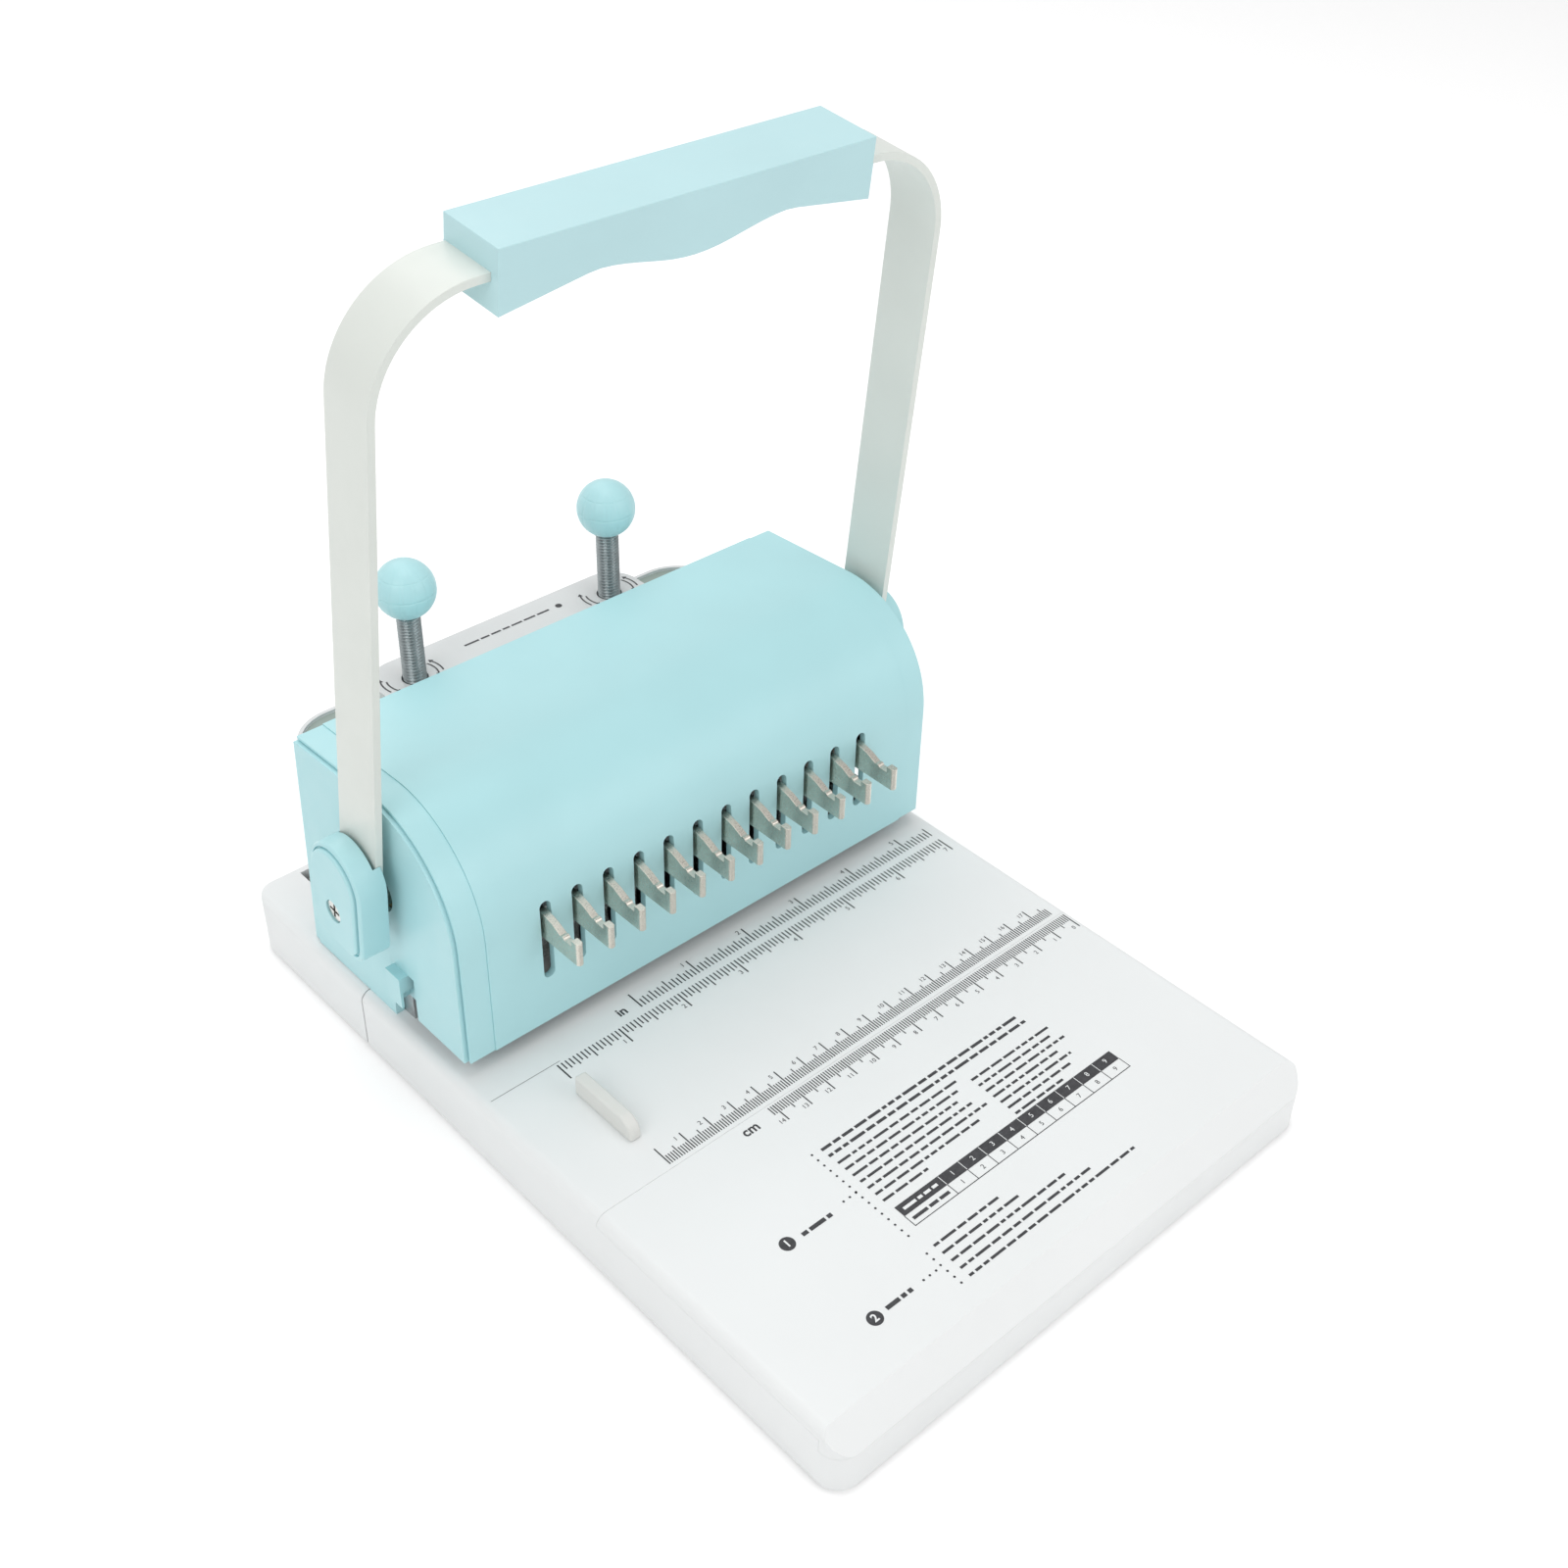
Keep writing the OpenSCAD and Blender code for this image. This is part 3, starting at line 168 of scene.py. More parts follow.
def metal(name, colour, rough, stretch=(1.0, 1.0, 1.0), scale=1500.0, vary=0.12):
    """Metal with drawn or ground lines along one axis."""
    depth, strength, drift, smoother, rougher = 0.00002, 0.4, 260.0, 0.08, 0.1
    mat, tree, bsdf = new_material(name, colour, rough, 1.0)
    lines = noise(tree, coords(tree, stretch), scale, 4.0, 0.6)
    roughen(tree, lines, depth, strength, bsdf)
    mottle(tree, noise(tree, coords(tree), drift, 3.0), colour, vary, bsdf)
    vary_gloss(tree, lines, rough - smoother, rough + rougher, bsdf)
    return mat


def ink(name, colour):
    """Printed ink, a little uneven."""
    rough, drift, vary = 0.5, 700.0, 0.25
    mat, tree, bsdf = new_material(name, colour, rough)
    mottle(tree, noise(tree, coords(tree), drift, 3.0), colour, vary, bsdf)
    return mat


AQUA = plastic("aqua_plastic", (0.468, 0.77, 0.806), 0.36)
AQUA_GRIP = plastic("aqua_grip", (0.52, 0.765, 0.80), 0.42, grain=1800.0, depth=0.00003)
WHITE = plastic("white_plastic", (0.86, 0.875, 0.875), 0.42, grain=2600.0, vary=0.01)
IVORY = plastic("guide_plastic", (0.76, 0.765, 0.735), 0.45)
GREY_PANEL = painted("grey_panel", (0.74, 0.75, 0.75), 0.45)
HANDLE = painted("handle_paint", (0.755, 0.79, 0.745), 0.38)
# Dark grey-green painted shade for the floor of the low corners of the rear panel, standing for the shade
# in the recesses
SHADE_GREY_GREEN = painted("low_floor_painted_shade", (0.30, 0.365, 0.33), 0.5)
STEEL = metal("steel", (0.50, 0.51, 0.52), 0.36, stretch=(1.0, 12.0, 12.0))
NICKEL = metal("nickel", (0.68, 0.645, 0.575), 0.3, stretch=(1.0, 6.0, 1.0), scale=900.0, vary=0.04)
SCREW_NICKEL = metal("screw_nickel", (0.70, 0.69, 0.66), 0.22)
ZINC = metal("zinc", (0.33, 0.37, 0.38), 0.34)
BRONZE = metal("bronze", (0.55, 0.42, 0.22), 0.4)
RUBBER = plastic("rubber", (0.035, 0.035, 0.035), 0.75, grain=1500.0, depth=0.00005)
INK = ink("ink_dark", (0.045, 0.045, 0.05))
INK_GREY = ink("ink_grey", (0.16, 0.165, 0.17))


# Building pieces

MERGE_M = 3e-6
FLAT = math.radians(0.5)


def full_turn(sides):
    """Angles of the corners of a ring."""
    return [2 * math.pi * k / sides for k in range(sides)]


def arc_points(x, y, r, a0, a1, steps):
    """Points on an arc between two angles in radians, both ends included."""
    angles = [a0 + (a1 - a0) * k / steps for k in range(steps + 1)]
    return [(x + r * math.cos(a), y + r * math.sin(a)) for a in angles]


def bridge(bm, low, high):
    """Faces between two closed rings of as many points."""
    for k in range(len(low)):
        n = (k + 1) % len(low)
        bm.faces.new((low[k], low[n], high[n], high[k]))


def add_object(name, mesh, material, body):
    obj = bpy.data.objects.new(name, mesh)
    bpy.context.scene.collection.objects.link(obj)
    mesh.materials.clear()
    mesh.materials.append(material)
    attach(obj, body)
    return obj


def mark_sharp(bm, degrees):
    limit = math.radians(degrees)
    for edge in bm.edges:
        edge.smooth = len(edge.link_faces) == 2 and edge.calc_face_angle(0.0) < limit
    for face in bm.faces:
        face.smooth = True


def dressed(node, material, width, weight=None, segments=3, sharp=32.0):
    """A copy of a CAD node with its sharp edges rounded, standing for the node.

    width is the full rounding in mm, and weight(edge) gives the share of it that an edge gets.
    """
    bm = bmesh.new()
    bm.from_mesh(NODES[node].data)
    bmesh.ops.remove_doubles(bm, verts=bm.verts, dist=MERGE_M)
    bmesh.ops.dissolve_limit(bm, angle_limit=FLAT, verts=bm.verts, edges=bm.edges)
    mark_sharp(bm, sharp)
    layer = bm.edges.layers.float.new("bevel_weight_edge")
    for edge in bm.edges:
        if not edge.smooth:
            edge[layer] = 1.0 if weight is None else weight(edge)
    mesh = bpy.data.meshes.new(node + "_dressed")
    bm.to_mesh(mesh)
    bm.free()
    obj = add_object(node + "_dressed", mesh, material, BODY_OF[node])
    bevel = obj.modifiers.new("rounding", "BEVEL")
    bevel.limit_method = "WEIGHT"
    bevel.width = width * MM
    bevel.segments = segments
    bevel.harden_normals = True
    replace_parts(obj, node)


def from_bmesh(name, bm, material, body, sharp=40.0):
    bmesh.ops.recalc_face_normals(bm, faces=bm.faces)
    mark_sharp(bm, sharp)
    mesh = bpy.data.meshes.new(name)
    bm.to_mesh(mesh)
    bm.free()
    return add_object(name, mesh, material, body)


class Print:
    """Flat printed marks collected into one mesh, in mm on a level face."""

    def __init__(self, z):
        self.bm = bmesh.new()
        self.z = z

    def poly(self, points):
        verts = [self.bm.verts.new((x * MM, y * MM, self.z * MM)) for x, y in points]
        face = self.bm.faces.new(verts)
        face.normal_update()
        if face.normal.z < 0:
            face.normal_flip()

    def rect(self, x0, y0, x1, y1):
        self.poly([(x0, y0), (x1, y0), (x1, y1), (x0, y1)])

    def disc(self, x, y, r, sides=28):
        self.poly([(x + r * math.cos(a), y + r * math.sin(a)) for a in full_turn(sides)])

    def arc(self, x, y, r, from_deg, to_deg, width):
        """A bent line of even width."""
        steps = 14
        ends = math.radians(from_deg), math.radians(to_deg)
        inner = arc_points(x, y, r - width / 2, *ends, steps)
        outer = arc_points(x, y, r + width / 2, *ends, steps)
        for k in range(steps):
            self.poly([inner[k], outer[k], outer[k + 1], inner[k + 1]])

    def text(self, words, x, y, size, bold=0.0):
        """Plain numerals and unit marks, centred on a point."""
        curve = bpy.data.curves.new("marks", "FONT")
        curve.body = words
        curve.size = size * MM
        curve.align_x = "CENTER"
        curve.align_y = "CENTER"
        curve.offset = bold * MM
        curve.resolution_u = 3
        temp = bpy.data.objects.new("marks", curve)
        bpy.context.scene.collection.objects.link(temp)
        bpy.context.view_layer.update()
        shown = temp.evaluated_get(bpy.context.evaluated_depsgraph_get())
        mesh = bpy.data.meshes.new_from_object(shown)
        mesh.transform(Matrix.Translation(Vector((x, y, self.z)) * MM))
        self.bm.from_mesh(mesh)
        bpy.data.objects.remove(temp)
        bpy.data.curves.remove(curve)
        bpy.data.meshes.remove(mesh)

    def done(self, name, material, body):
        mesh = bpy.data.meshes.new(name)
        self.bm.to_mesh(mesh)
        self.bm.free()
        add_object(name, mesh, material, body)


# Frame nodes that keep their CAD shape

KEPT = (
    (STEEL, ("bottom_plate", "die_plate", "stripper_plate", "left_side_plate", "right_side_plate",
             "clamp_shelf", "depth_stop", "left_pinion", "right_pinion", "ram_bar", "left_rack",
             "right_rack", "hook_bar")),
    (SCREW_NICKEL, ("bottom_screws", "frame_screws", "guide_rods", "main_shaft", "grip_screws",
                    "hub_screws", "punches")),
    (ZINC, ("screw_nuts", "left_clamp_foot", "right_clamp_foot")),
    (BRONZE, ("left_bush", "right_bush")),
    (RUBBER, ("feet",)),
)
for material, nodes in KEPT:
    for node in nodes:
        mesh = NODES[node].data
        mesh.materials.clear()
        mesh.materials.append(material)


# Return springs, copied onto a mesh of their own

coils = add_object("return_spring_coils", NODES["return_springs"].data.copy(), ZINC,
                   BODY_OF["return_springs"])
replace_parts(coils, "return_springs")
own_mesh(coils)


# Which share of its rounding each edge gets

FULL, SEAM, NONE = 1.0, 0.12, 0.0


def spans(edge, axis):
    """Lowest and highest place of an edge along an axis, in mm."""
    ends = [v.co[axis] / MM for v in edge.verts]
    return min(ends), max(ends)


def middle(edge):
    """Middle of an edge, in mm."""
    return (edge.verts[0].co + edge.verts[1].co) / (2 * MM)


def handle_point(edge):
    """Middle of an edge in the handle's own frame, in mm."""
    return Matrix.Rotation(-LEAN, 3, "X") @ (middle(edge) - PIVOT)


def base_edges(edge):
    """Outer edges are round, the edges beside a seam only just broken."""
    drawer_y, panel_y, bed_z, side_z = 80.0, -46.5, 15.0, 20.0
    y0, y1 = spans(edge, 1)
    z0, z1 = spans(edge, 2)
    in_panel_bed = y1 < panel_y and z0 > bed_z
    beside_panel = y0 < panel_y and z1 > side_z
    return SEAM if y0 > drawer_y or in_panel_bed or beside_panel else FULL


def panel_edges(edge):
    """The front crease is round, the edges beside the seams are tight."""
    crease_y, crease_z, rear_y = -140.0, 24.5, -48.0
    rear, sides = 0.16, 0.02
    y0, y1 = spans(edge, 1)
    if spans(edge, 2)[0] > crease_z and y1 < crease_y:
        return FULL
    return rear if y0 > rear_y else sides


def drawer_edges(edge):
    """Outer edges are round, the seam and the latch window only just broken."""
    seam_y, window_y, window_x0, window_x1 = 82.0, 138.0, -92.0, -76.0
    x0, x1 = spans(edge, 0)
    y0, y1 = spans(edge, 1)
    at_window = y0 > window_y and x0 > window_x0 and x1 < window_x1
    return SEAM if y1 < seam_y or at_window else FULL


def cap_edges(edge):
    """The raised side face has a full round, the rim, the foot and the catch a small one.

    The side towards the cover and the root of the edge step stay sharp.
    """
    foot_z, catch_y0, catch_y1, catch_z = 33.0, 51.0, 66.0, 52.0
    cover_x, root_x0, root_x1, face_x = 92.5, 100.0, 101.0, 102.5
    foot, small = 0.1, 0.2
    x = min(abs(v.co.x) for v in edge.verts) / MM
    y0, y1 = spans(edge, 1)
    z1 = spans(edge, 2)[1]
    if z1 < foot_z:
        return foot
    if y0 > catch_y0 and y1 < catch_y1 and z1 < catch_z:
        return small
    if x > face_x:
        return FULL
    return NONE if x < cover_x or root_x0 < x < root_x1 else small


def rear_edges(edge):
    """The raised middle has a round edge, the screw holes and the rim of the low corners a small one."""
    top_z, hole_r, small = 98.5, 6.0, 0.3
    mid = middle(edge)
    at_hole = math.hypot(abs(mid.x) - SPINDLE_X, mid.y - SPINDLE_Y) < hole_r
    return small if mid.z < top_z or at_hole else FULL


def hub_edges(edge):
    """The outline and the raised face are round, the groove and the screw hole tight."""
    half, crown_z, foot_z = 13.75, 12.25, -15.0
    corner_y, corner_z, corner_r = 8.75, -10.0, 5.0
    border_x, face_x, hole_r, outline = 117.8, 119.0, 5.0, 0.4
    face, groove, inner = 0.75, 0.15, 0.3
    p = handle_point(edge)
    x, y = abs(p.x), abs(p.y)
    if p.z > crown_z:
        inside = half - math.hypot(y, p.z - crown_z)
    elif p.z < corner_z and y > corner_y:
        inside = corner_r - math.hypot(y - corner_y, p.z - corner_z)
    else:
        inside = min(half - y, p.z - foot_z)
    if x > face_x and math.hypot(y, p.z) > hole_r:
        return face
    if x > border_x:
        return FULL if inside < outline else groove
    return inner if inside < outline else NONE


def grip_edges(edge):
    """The seam and the channel for the bar stay tight, the outer edges are round."""
    seam_z, channel_y, channel_half_x, near = 208.7, 10.1, 70.0, 0.3
    channel = 0.1
    p = handle_point(edge)
    if abs(p.z - seam_z) < near:
        return SEAM
    if abs(abs(p.y) - channel_y) < near and abs(p.x) < channel_half_x:
        return channel
    return FULL


# Housing and handle

dressed("base_shell", WHITE, width=1.1, weight=base_edges)
dressed("front_panel", WHITE, width=1.4, weight=panel_edges)
dressed("chip_drawer", WHITE, width=1.1, weight=drawer_edges)
dressed("paper_guide", IVORY, width=0.9)
dressed("cover", AQUA, width=0.3)
for side in ("left", "right"):
    dressed(side + "_end_cap", AQUA, width=1.3, weight=cap_edges, segments=4)
    dressed(side + "_hub", AQUA, width=1.1, weight=hub_edges, segments=4)
dressed("rear_panel", GREY_PANEL, width=0.9, weight=rear_edges)
dressed("hooks", NICKEL, width=0.4)
dressed("handle_bar", HANDLE, width=0.6, sharp=25.0)
dressed("grip_top", AQUA_GRIP, width=2.4, weight=grip_edges, segments=4)
dressed("grip_bottom", AQUA_GRIP, width=2.0, weight=grip_edges, segments=4)


# Knob screws

def threaded(name, x, body):
    """Rod with a cut thread on the length that shows, standing for the plain CAD rod."""
    sides, turn_steps = 30, 8
    pitch, crest, root, pin_r, top_r = 1.25, 4.22, 3.62, 2.5, 4.2
    level, slope = 1.25, 2.6
    chamfer_r, chamfer_h, run_in = 0.3, 0.4, 0.05
    pin_z, shoulder_z, thread_z, thread_end_z, top_z = 65.1, 67.4, 88.0, 126.0, KNOB_Z - 2.1
    merge_m = 1e-7
    bm = bmesh.new()
    angles = full_turn(sides)

    def thread_r(z, a):
        """Flat crests and roots with slopes between them, along a right-hand helix."""
        phase = ((z - pitch * a / (2 * math.pi)) / pitch) % 1.0
        return root + (crest - root) * min(1.0, max(0.0, level - slope * abs(phase - 0.5)))

    def ring(z, radii):
        return [bm.verts.new((x + r * math.cos(a), SPINDLE_Y + r * math.sin(a), z))
                for r, a in zip(radii, angles)]

    plain = ((0.0, pin_z), (pin_r, pin_z), (pin_r, shoulder_z), (crest - chamfer_r, shoulder_z),
             (crest, shoulder_z + chamfer_h), (crest, thread_z - run_in))
    count = int((thread_end_z - thread_z) / (pitch / turn_steps))
    heights = [thread_z + k * pitch / turn_steps for k in range(count + 1)]
    rings = [ring(z, [r] * sides) for r, z in plain]
    rings += [ring(z, [thread_r(z, a) for a in angles]) for z in heights]
    rings.append(ring(top_z, [top_r] * sides))
    for low, high in zip(rings, rings[1:]):
        bridge(bm, low, high)
    bm.faces.new(rings[-1])
    bmesh.ops.scale(bm, vec=(MM, MM, MM), verts=bm.verts)
    bmesh.ops.remove_doubles(bm, verts=bm.verts, dist=merge_m)
    return from_bmesh(name, bm, ZINC, body, sharp=50.0)


def ball(name, x, body):
    """Ball knob with moulded meridian and latitude lines, cut flat where it meets the rod."""
    radius, neck_r, neck_z = 10.6, 4.3, -9.5
    meridians, belts, groove, line_half, line_end_lat = 14, 5, 0.2, 0.28, 75.0
    sides, rows, first_lat, least_r = 144, 153, -63.5, 0.01
    centre = Vector((x, SPINDLE_Y, KNOB_Z)) * MM
    angles = full_turn(sides)

    def off_line(value, step):
        """Distance of a value from the nearest multiple of a step."""
        return abs(value / step - round(value / step)) * step

    def dip(distance):
        return math.exp(-(distance / line_half) ** 2)

    def lined(r, z, a):
        lat = math.degrees(math.asin(max(-1.0, min(1.0, z / radius))))
        cut = dip(off_line(lat, 180.0 / belts) * math.radians(1) * radius)
        if abs(lat) < line_end_lat:
            cut = max(cut, dip(off_line(a, 2 * math.pi / meridians) * r))
        return max(least_r, r - groove * cut * math.cos(math.radians(lat)))

    bm = bmesh.new()
    lats = [math.radians(first_lat + k) for k in range(rows)]
    rings = []
    for r, z in [(neck_r, neck_z)] + [(radius * math.cos(t), radius * math.sin(t)) for t in lats]:
        points = [(lined(r, z, a), a) for a in angles]
        rings.append([bm.verts.new(Vector((q * math.cos(a), q * math.sin(a), z)) * MM + centre)
                      for q, a in points])
    for low, high in zip(rings, rings[1:]):
        bridge(bm, low, high)
    pole = bm.verts.new(Vector((0, 0, radius)) * MM + centre)
    for k in range(sides):
        bm.faces.new((rings[-1][k], rings[-1][(k + 1) % sides], pole))
    return from_bmesh(name, bm, AQUA, body)


for side, sign in (("left", -1), ("right", 1)):
    body = side + "_screw"
    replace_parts(threaded(side + "_thread", sign * SPINDLE_X, body), side + "_spindle")
    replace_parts(ball(side + "_ball", sign * SPINDLE_X, body), side + "_knob")


# Rulers printed on the table

INCH = 25.4
INCH_PARTS = 16

# (every, length, width) of the ticks, the longest first
CM_TICKS = ((10, 8.0, 0.46), (5, 5.3, 0.4), (1, 3.7, 0.4))
INCH_TICKS = ((16, 7.6, 0.56), (8, 5.2, 0.5), (4, 4.5, 0.5), (2, 4.0, 0.5), (1, 3.4, 0.5))

REAR_CM_X, FRONT_CM_X = -76.7, 103.2
FRONT_INCH_X, REAR_INCH_X = -77.6, -39.6
CM_SIZE, INCH_SIZE, UNIT_SIZE, UNIT_BOLD = 2.5, 2.9, 5.2, 0.12


def scale_ticks(marks, zero_x, pitch, count, base_y, out, ticks):
    """Ticks from a base line. out is +1 for ticks towards the rear and -1 for ticks towards the front."""
    for k in range(count + 1):
        length, width = next((long, wide) for every, long, wide in ticks if k % every == 0)
        x, y = zero_x + pitch * k, base_y + out * length
        marks.rect(x - width / 2, min(base_y, y), x + width / 2, max(base_y, y))


def numerals(marks, zero_x, pitch, values, y, size):
    """A row of numbers, each at its own multiple of the pitch."""
    for k in values:
        marks.text(str(k), zero_x + pitch * k, y, size)


rulers = Print(TABLE_Z + PRINT_LIFT)
scale_ticks(rulers, REAR_CM_X, 1.0, 177, -45.4, 1, CM_TICKS)
scale_ticks(rulers, FRONT_CM_X, -1.0, 142, -48.0, -1, CM_TICKS)
scale_ticks(rulers, FRONT_INCH_X, INCH / INCH_PARTS, 112, 11.0, -1, INCH_TICKS)
scale_ticks(rulers, REAR_INCH_X, INCH / INCH_PARTS, 88, 14.1, 1, INCH_TICKS)
numerals(rulers, REAR_CM_X - 2.3, 10, range(1, 18), -38.6, CM_SIZE)
numerals(rulers, FRONT_CM_X - 2.2, -10, range(15), -55.2, CM_SIZE)
numerals(rulers, FRONT_INCH_X - 2.0, INCH, range(1, 8), 4.9, INCH_SIZE)
numerals(rulers, REAR_INCH_X - 2.2, INCH, range(1, 6), 20.8, INCH_SIZE)
rulers.text("in", -46.4, 16.6, UNIT_SIZE, UNIT_BOLD)
rulers.text("cm", -48.9, -51.2, UNIT_SIZE, UNIT_BOLD)
rulers.done("ruler_marks", INK, "frame")

hairline = Print(TABLE_Z + PRINT_LIFT)
hairline.rect(-103.0, 11.9, -75.7, 12.1)
hairline.done("edge_hairline", INK_GREY, "frame")


# Steps of use printed on the table, with plain bars in place of words

STEP_DISCS = (("1", -70.6, -92.0), ("2", -69.8, -128.1))
DISC_R, DISC_SIZE, DISC_BOLD = 2.6, 3.8, 0.1
DOT_R, DOT_SIDES, DOT_ROW_PITCH, DOT_COLUMN_PITCH = 0.42, 12, 2.6, -2.8

CELLS, CELL_X, CELL_W = 9, -18.6, 9.05
COLUMNS = [-37.2] + [CELL_X + CELL_W * k for k in range(CELLS + 1)]
HEAD_Y0, HEAD_Y1, FOOT_Y = -107.6, -103.2, -112.2
LINE_HALF, PALE_LINE_HALF, PALE_LINE_INSET = 0.14, 0.12, 0.2
HEAD_TEXT_Y, CELL_TEXT_Y = -105.4, -109.9


def word_bars(marks, x0, x1, y, height, first):
    """A row of plain bars. first picks the width that the row starts with."""
    widths = (4.1, 2.2, 5.3, 3.0, 6.2, 1.8, 4.6, 3.6, 2.6, 5.0)
    gap, stride, shortest = 0.9, 3, 0.8
    x, k = x0, first
    while x < x1 - shortest:
        end = min(x + widths[k % len(widths)], x1)
        marks.rect(x, y - height / 2, end, y + height / 2)
        x, k = end + gap, k + stride


def paragraph(marks, x, y, drop, rows):
    """Rows of bars under each other, each with its length and its first width."""
    height = 0.95
    for k, (length, first) in enumerate(rows):
        word_bars(marks, x, x + length, y - drop * k, height, first)


def dots(marks, x, y, dx, dy, count):
    for k in range(count):
        marks.disc(x + dx * k, y + dy * k, DOT_R, DOT_SIDES)


steps = Print(TABLE_Z + PRINT_LIFT)
for _, x, y in STEP_DISCS:
    steps.disc(x, y, DISC_R)
word_bars(steps, -65.0, -53.0, -92.5, 1.5, 1)
word_bars(steps, -65.0, -54.5, -127.9, 1.5, 2)
dots(steps, -47.0, -91.4, DOT_ROW_PITCH, 0.0, 3)
dots(steps, -49.8, -127.9, DOT_ROW_PITCH, 0.0, 3)
dots(steps, -41.6, -71.6, 0.0, DOT_COLUMN_PITCH, 16)
dots(steps, -42.2, -121.8, 0.0, DOT_COLUMN_PITCH, 6)
word_bars(steps, -38.0, 53.0, -72.1, 1.15, 0)
word_bars(steps, -38.0, 52.5, -75.4, 1.15, 5)
paragraph(steps, -37.8, -79.3, 3.3, ((53, 2), (50, 7), (47, 4), (51, 1), (53, 8), (46, 3), (21, 6)))
paragraph(steps, 19.0, -82.4, 3.2, ((37, 3), (35, 5), (38, 0), (31, 2), (34, 9), (30, 4), (24, 1)))
paragraph(steps, -38.6, -121.2, 3.6, ((28, 1), (34, 6), (52, 3), (58, 8), (75, 5)))
steps.rect(COLUMNS[0], HEAD_Y0, COLUMNS[-1], HEAD_Y1)
for x in COLUMNS:
    steps.rect(x - LINE_HALF, FOOT_Y, x + LINE_HALF, HEAD_Y0)
steps.rect(COLUMNS[0] - LINE_HALF, FOOT_Y - 0.2, COLUMNS[-1] + LINE_HALF, FOOT_Y + 0.1)
word_bars(steps, -35.8, -20.0, CELL_TEXT_Y, 1.2, 4)
numerals(steps, CELL_X - CELL_W / 2, CELL_W, range(1, CELLS + 1), CELL_TEXT_Y, 2.6)
steps.done("step_marks", INK, "frame")

pale = Print(TABLE_Z + PALE_LIFT)
for words, x, y in STEP_DISCS:
    pale.text(words, x, y, DISC_SIZE, DISC_BOLD)
numerals(pale, CELL_X - CELL_W / 2, CELL_W, range(1, CELLS + 1), HEAD_TEXT_Y, 2.7)
for x in COLUMNS[1:-1]:
    pale.rect(x - PALE_LINE_HALF, HEAD_Y0 + PALE_LINE_INSET, x + PALE_LINE_HALF, HEAD_Y1 - PALE_LINE_INSET)
word_bars(pale, -35.4, -20.6, HEAD_TEXT_Y, 1.1, 2)
pale.done("step_numerals", WHITE, "frame")


# Painted shade: a dark grey-green sheet on the floor of the low corners of the rear panel, standing for
# the shade in the recesses

def low_corner(marks, sign):
    """Outline of the painted shade on the floor between the raised middle and the rim, on one side."""
    rim_r, rim_x, rim_y = 16.4, 72.2, 128.5
    hump_r, hump_x, hump_y = 12.2, 45.0, 134.5
    front_y, arc_steps = 109.7, 12
    meet = math.asin((rim_y + rim_r - hump_y) / hump_r)
    points = [(hump_x + hump_r, front_y), (rim_x + rim_r, front_y)]
    points += arc_points(rim_x, rim_y, rim_r, 0.0, math.pi / 2, arc_steps)
    points += arc_points(hump_x, hump_y, hump_r, meet, 0.0, arc_steps)
    marks.poly([(sign * x, y) for x, y in points])


corners = Print(LOW_FLOOR_Z + SHADE_SHEET_LIFT)
for sign in (-1, 1):
    low_corner(corners, sign)
corners.done("low_corner_painted_shade", SHADE_GREY_GREEN, "frame")


# Spring tab in the latch window of the drawer

TAB_START, TAB_END = (-94.0, 21.8), (-87.6, 24.2)
TAB_BEND_X, TAB_BEND_Z, TAB_BEND_R = -89.2, 23.0, 1.2
TAB_THICK, TAB_Y0, TAB_Y1 = 0.8, 140.4, 145.6


def bent_strip(name, path, thick, y0, y1, material, body):
    """Sheet strip bent along a path of (x, z) points in mm."""
    bm = bmesh.new()
    rows = []
    for k, (x, z) in enumerate(path):
        behind, ahead = path[max(k - 1, 0)], path[min(k + 1, len(path) - 1)]
        run = Vector((ahead[0] - behind[0], ahead[1] - behind[1])).normalized()
        out_x, out_z = -run.y * thick / 2, run.x * thick / 2
        rows.append([bm.verts.new(Vector((x + s * out_x, y, z + s * out_z)) * MM)
                     for s, y in ((-1, y0), (1, y0), (1, y1), (-1, y1))])
    for low, high in zip(rows, rows[1:]):
        bridge(bm, low, high)
    bm.faces.new(rows[0])
    bm.faces.new(rows[-1])
    from_bmesh(name, bm, material, body)


tab_bend = arc_points(TAB_BEND_X, TAB_BEND_Z, TAB_BEND_R, -math.pi / 2, -math.pi / 12, 5)
bent_strip("latch_tab", [TAB_START] + tab_bend + [TAB_END], TAB_THICK, TAB_Y0, TAB_Y1, NICKEL, "drawer")


# Turning arrows, a dot and a row of bars on the rear panel

ARROW_X, ARROW_Y, ARROW_LINE = 43.4, SPINDLE_Y + 0.6, 0.6
HEAD_HALF, HEAD_LENGTH = 1.0, 1.7
INNER_R, OUTER_R = 9.2, 11.2
ARCS = ((INNER_R, -24, 24), (OUTER_R, -16, 20), (INNER_R, 160, 204), (OUTER_R, 158, 196))
ARROW_HEADS = ((INNER_R, -24, -1), (OUTER_R, 20, 1), (INNER_R, 204, 1), (OUTER_R, 158, -1))


def arrow_head(marks, centre, r, degrees, turn):
    """Triangle at the end of an arc. turn is +1 where it points anticlockwise."""
    t = math.radians(degrees)
    outward = Vector((math.cos(t), math.sin(t)))
    along = Vector((-outward.y, outward.x)) * turn
    point = centre + outward * r
    marks.poly([point + outward * HEAD_HALF, point - outward * HEAD_HALF, point + along * HEAD_LENGTH])


arrows = Print(PANEL_TOP_Z + PRINT_LIFT)
for sign in (-1, 1):
    centre = Vector((sign * ARROW_X, ARROW_Y))
    for r, from_deg, to_deg in ARCS:
        arrows.arc(*centre, r, from_deg, to_deg, ARROW_LINE)
    for r, degrees, turn in ARROW_HEADS:
        arrow_head(arrows, centre, r, degrees, turn)
arrows.disc(23.1, 137.5, 1.3)
word_bars(arrows, -18.5, 19.5, 137.6, 0.9, 4)
arrows.done("panel_marks", INK, "frame")


# Floor, light and camera

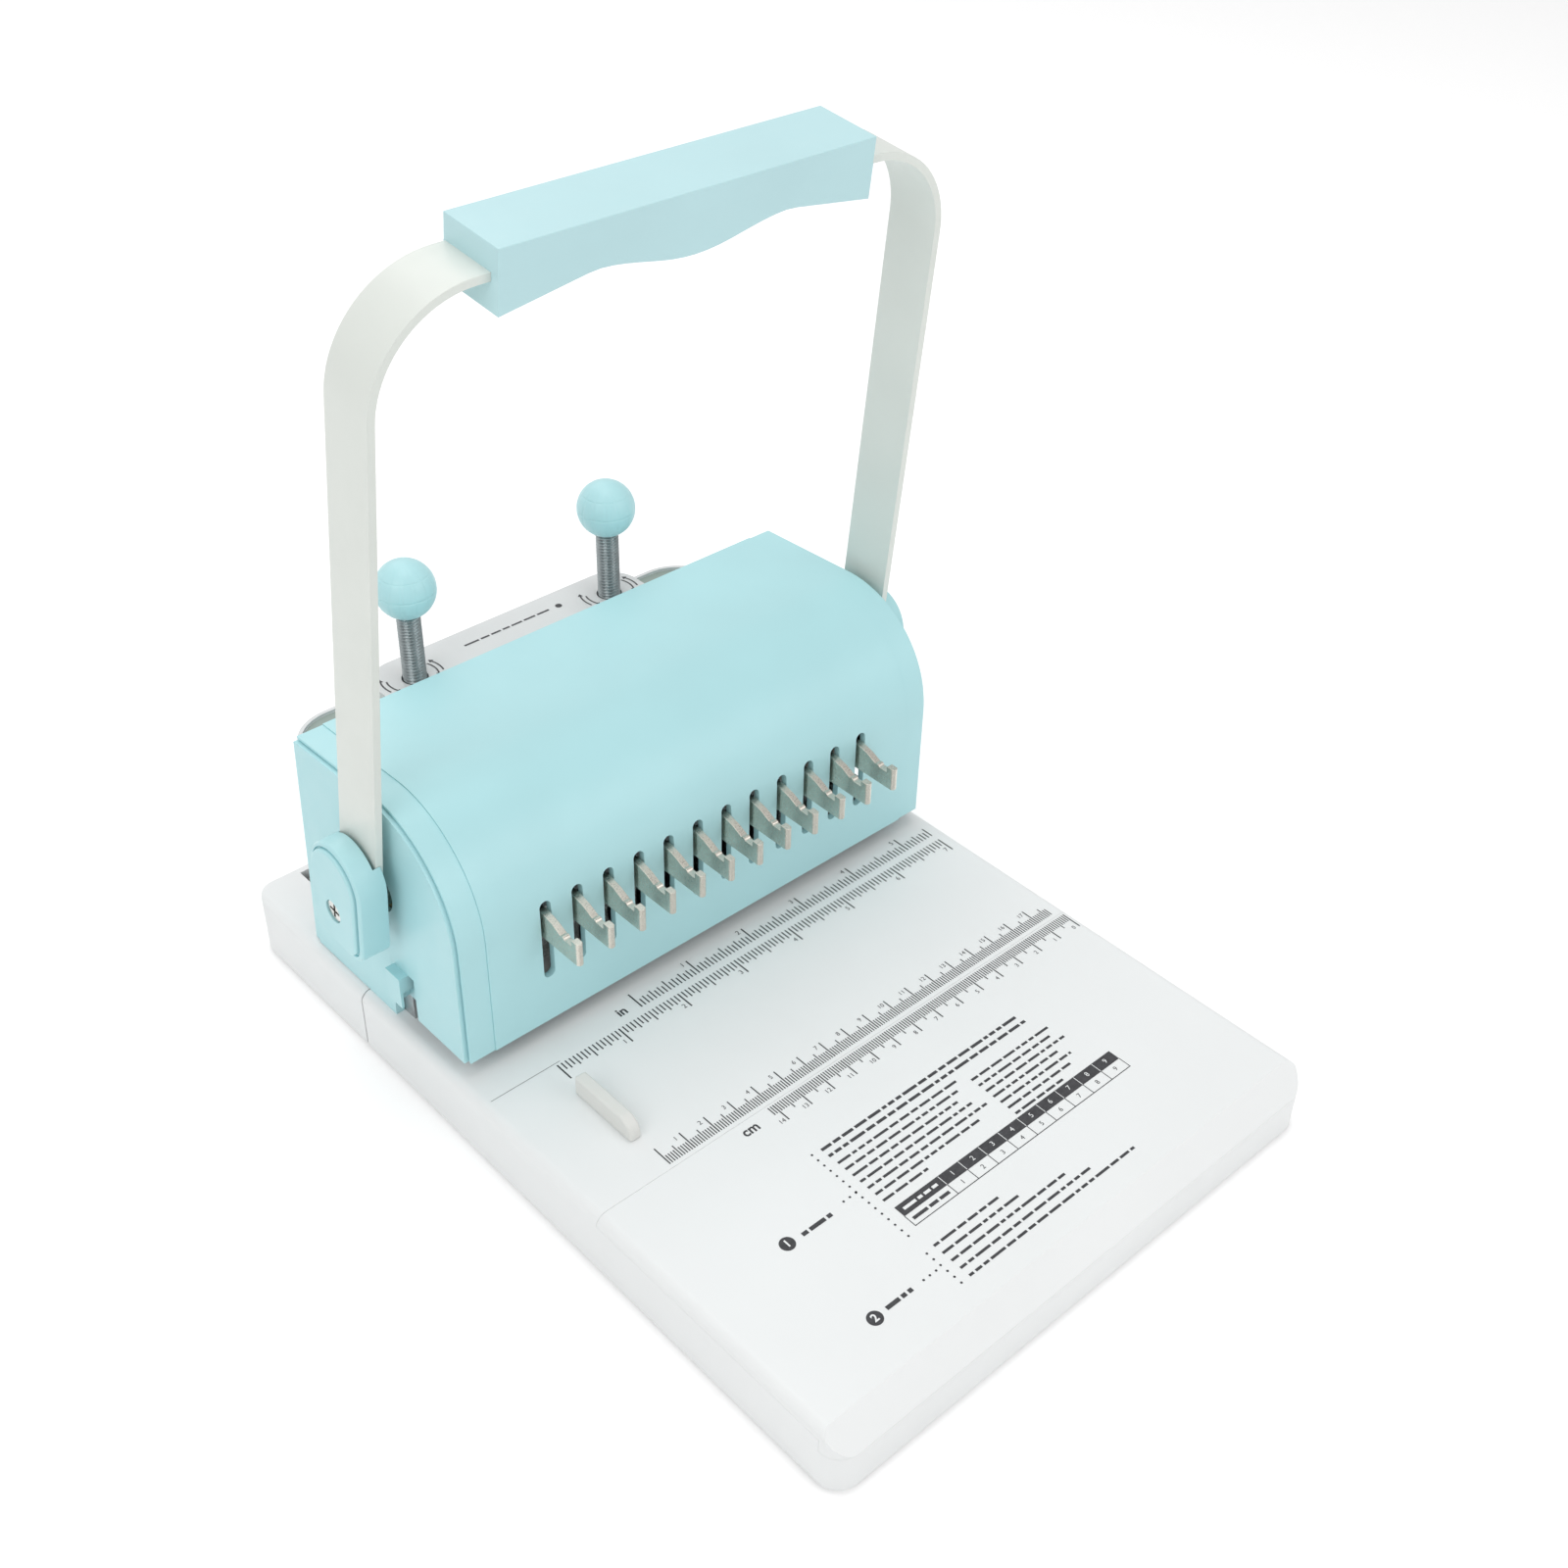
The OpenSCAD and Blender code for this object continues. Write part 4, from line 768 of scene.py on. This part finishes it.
def paper():
    """White paper that glows a little where the camera or a reflection sees it."""
    grey, rough, glow = 0.93, 0.9, 0.22
    mat, tree, bsdf = new_material("floor_paper", (grey, grey, grey), rough)
    bsdf.inputs["Specular IOR Level"].default_value = 0.0
    bsdf.inputs["Emission Color"].default_value = WHITE_RGBA
    path = tree.nodes.new("ShaderNodeLightPath")
    either = tree.nodes.new("ShaderNodeMath")
    either.operation = "MAXIMUM"
    tree.links.new(path.outputs["Is Camera Ray"], either.inputs[0])
    tree.links.new(path.outputs["Is Glossy Ray"], either.inputs[1])
    seen = tree.nodes.new("ShaderNodeMath")
    seen.operation = "MULTIPLY"
    seen.inputs[1].default_value = glow
    tree.links.new(either.outputs["Value"], seen.inputs[0])
    tree.links.new(seen.outputs["Value"], bsdf.inputs["Emission Strength"])
    return mat


def sweep():
    """Level floor that bends up into a wall behind the machine."""
    half, back, rise, bend, bend_steps = 3.0, 2.4, 2.5, 0.9, 16
    bm = bmesh.new()
    curve = arc_points(back - bend, bend, bend, -math.pi / 2, 0.0, bend_steps)
    line = [(-half, 0.0)] + curve + [(back, rise)]
    rows = [[bm.verts.new((x, y, z)) for x in (-half, half)] for y, z in line]
    for low, high in zip(rows, rows[1:]):
        bm.faces.new((low[0], low[1], high[1], high[0]))
    mesh = bpy.data.meshes.new("floor")
    bm.to_mesh(mesh)
    bm.free()
    for face in mesh.polygons:
        face.use_smooth = True
    mesh.materials.append(paper())
    floor = bpy.data.objects.new("floor", mesh)
    bpy.context.scene.collection.objects.link(floor)


def sky():
    """Even white light from all sides."""
    strength = 0.56
    world = bpy.data.worlds.new("studio")
    bpy.context.scene.world = world
    world.use_nodes = True
    background = world.node_tree.nodes["Background"]
    background.inputs["Color"].default_value = WHITE_RGBA
    background.inputs["Strength"].default_value = strength


def lamp(name, place, aim, size, power):
    data = bpy.data.lights.new(name, "AREA")
    data.shape = "DISK"
    data.size = size
    data.energy = power
    obj = bpy.data.objects.new(name, data)
    bpy.context.scene.collection.objects.link(obj)
    obj.location = place
    obj.rotation_euler = (Vector(aim) - Vector(place)).to_track_quat("-Z", "Y").to_euler()


def camera():
    """Camera fitted to the marks of the printed rulers."""
    place = (-0.3271, -0.3572, 0.4768)
    azimuth, elevation, roll = (math.radians(a) for a in (-43.32, 37.31, 1.55))
    level = math.cos(elevation)
    back = Vector((math.sin(azimuth) * level, -math.cos(azimuth) * level, math.sin(elevation)))
    flat_right = Vector((0, 0, 1)).cross(back).normalized()
    flat_up = back.cross(flat_right)
    right = flat_right * math.cos(roll) + flat_up * math.sin(roll)
    up = flat_up * math.cos(roll) - flat_right * math.sin(roll)
    data = bpy.data.cameras.new("camera")
    data.sensor_width = 36.0
    data.lens = 44.11
    data.clip_start = 0.01
    data.clip_end = 50.0
    obj = bpy.data.objects.new("camera", data)
    bpy.context.scene.collection.objects.link(obj)
    turn = Matrix((right, up, back)).transposed().to_4x4()
    obj.matrix_world = Matrix.Translation(place) @ turn
    bpy.context.scene.camera = obj


bpy.context.scene.view_settings.view_transform = "Standard"
sweep()
sky()
lamp("key", place=(-1.35, -0.45, 1.2), aim=(0, 0, 0.08), size=1.3, power=7.7)
lamp("top", place=(0.1, 0.2, 1.9), aim=(0, 0, 0.1), size=1.2, power=7.5)
lamp("fill", place=(0.7, -1.4, 0.9), aim=(0, 0, 0.1), size=1.2, power=5.4)
lamp("rim", place=(0.3, 1.3, 1.4), aim=(0, 0.05, 0.1), size=1.2, power=4.0)
camera()
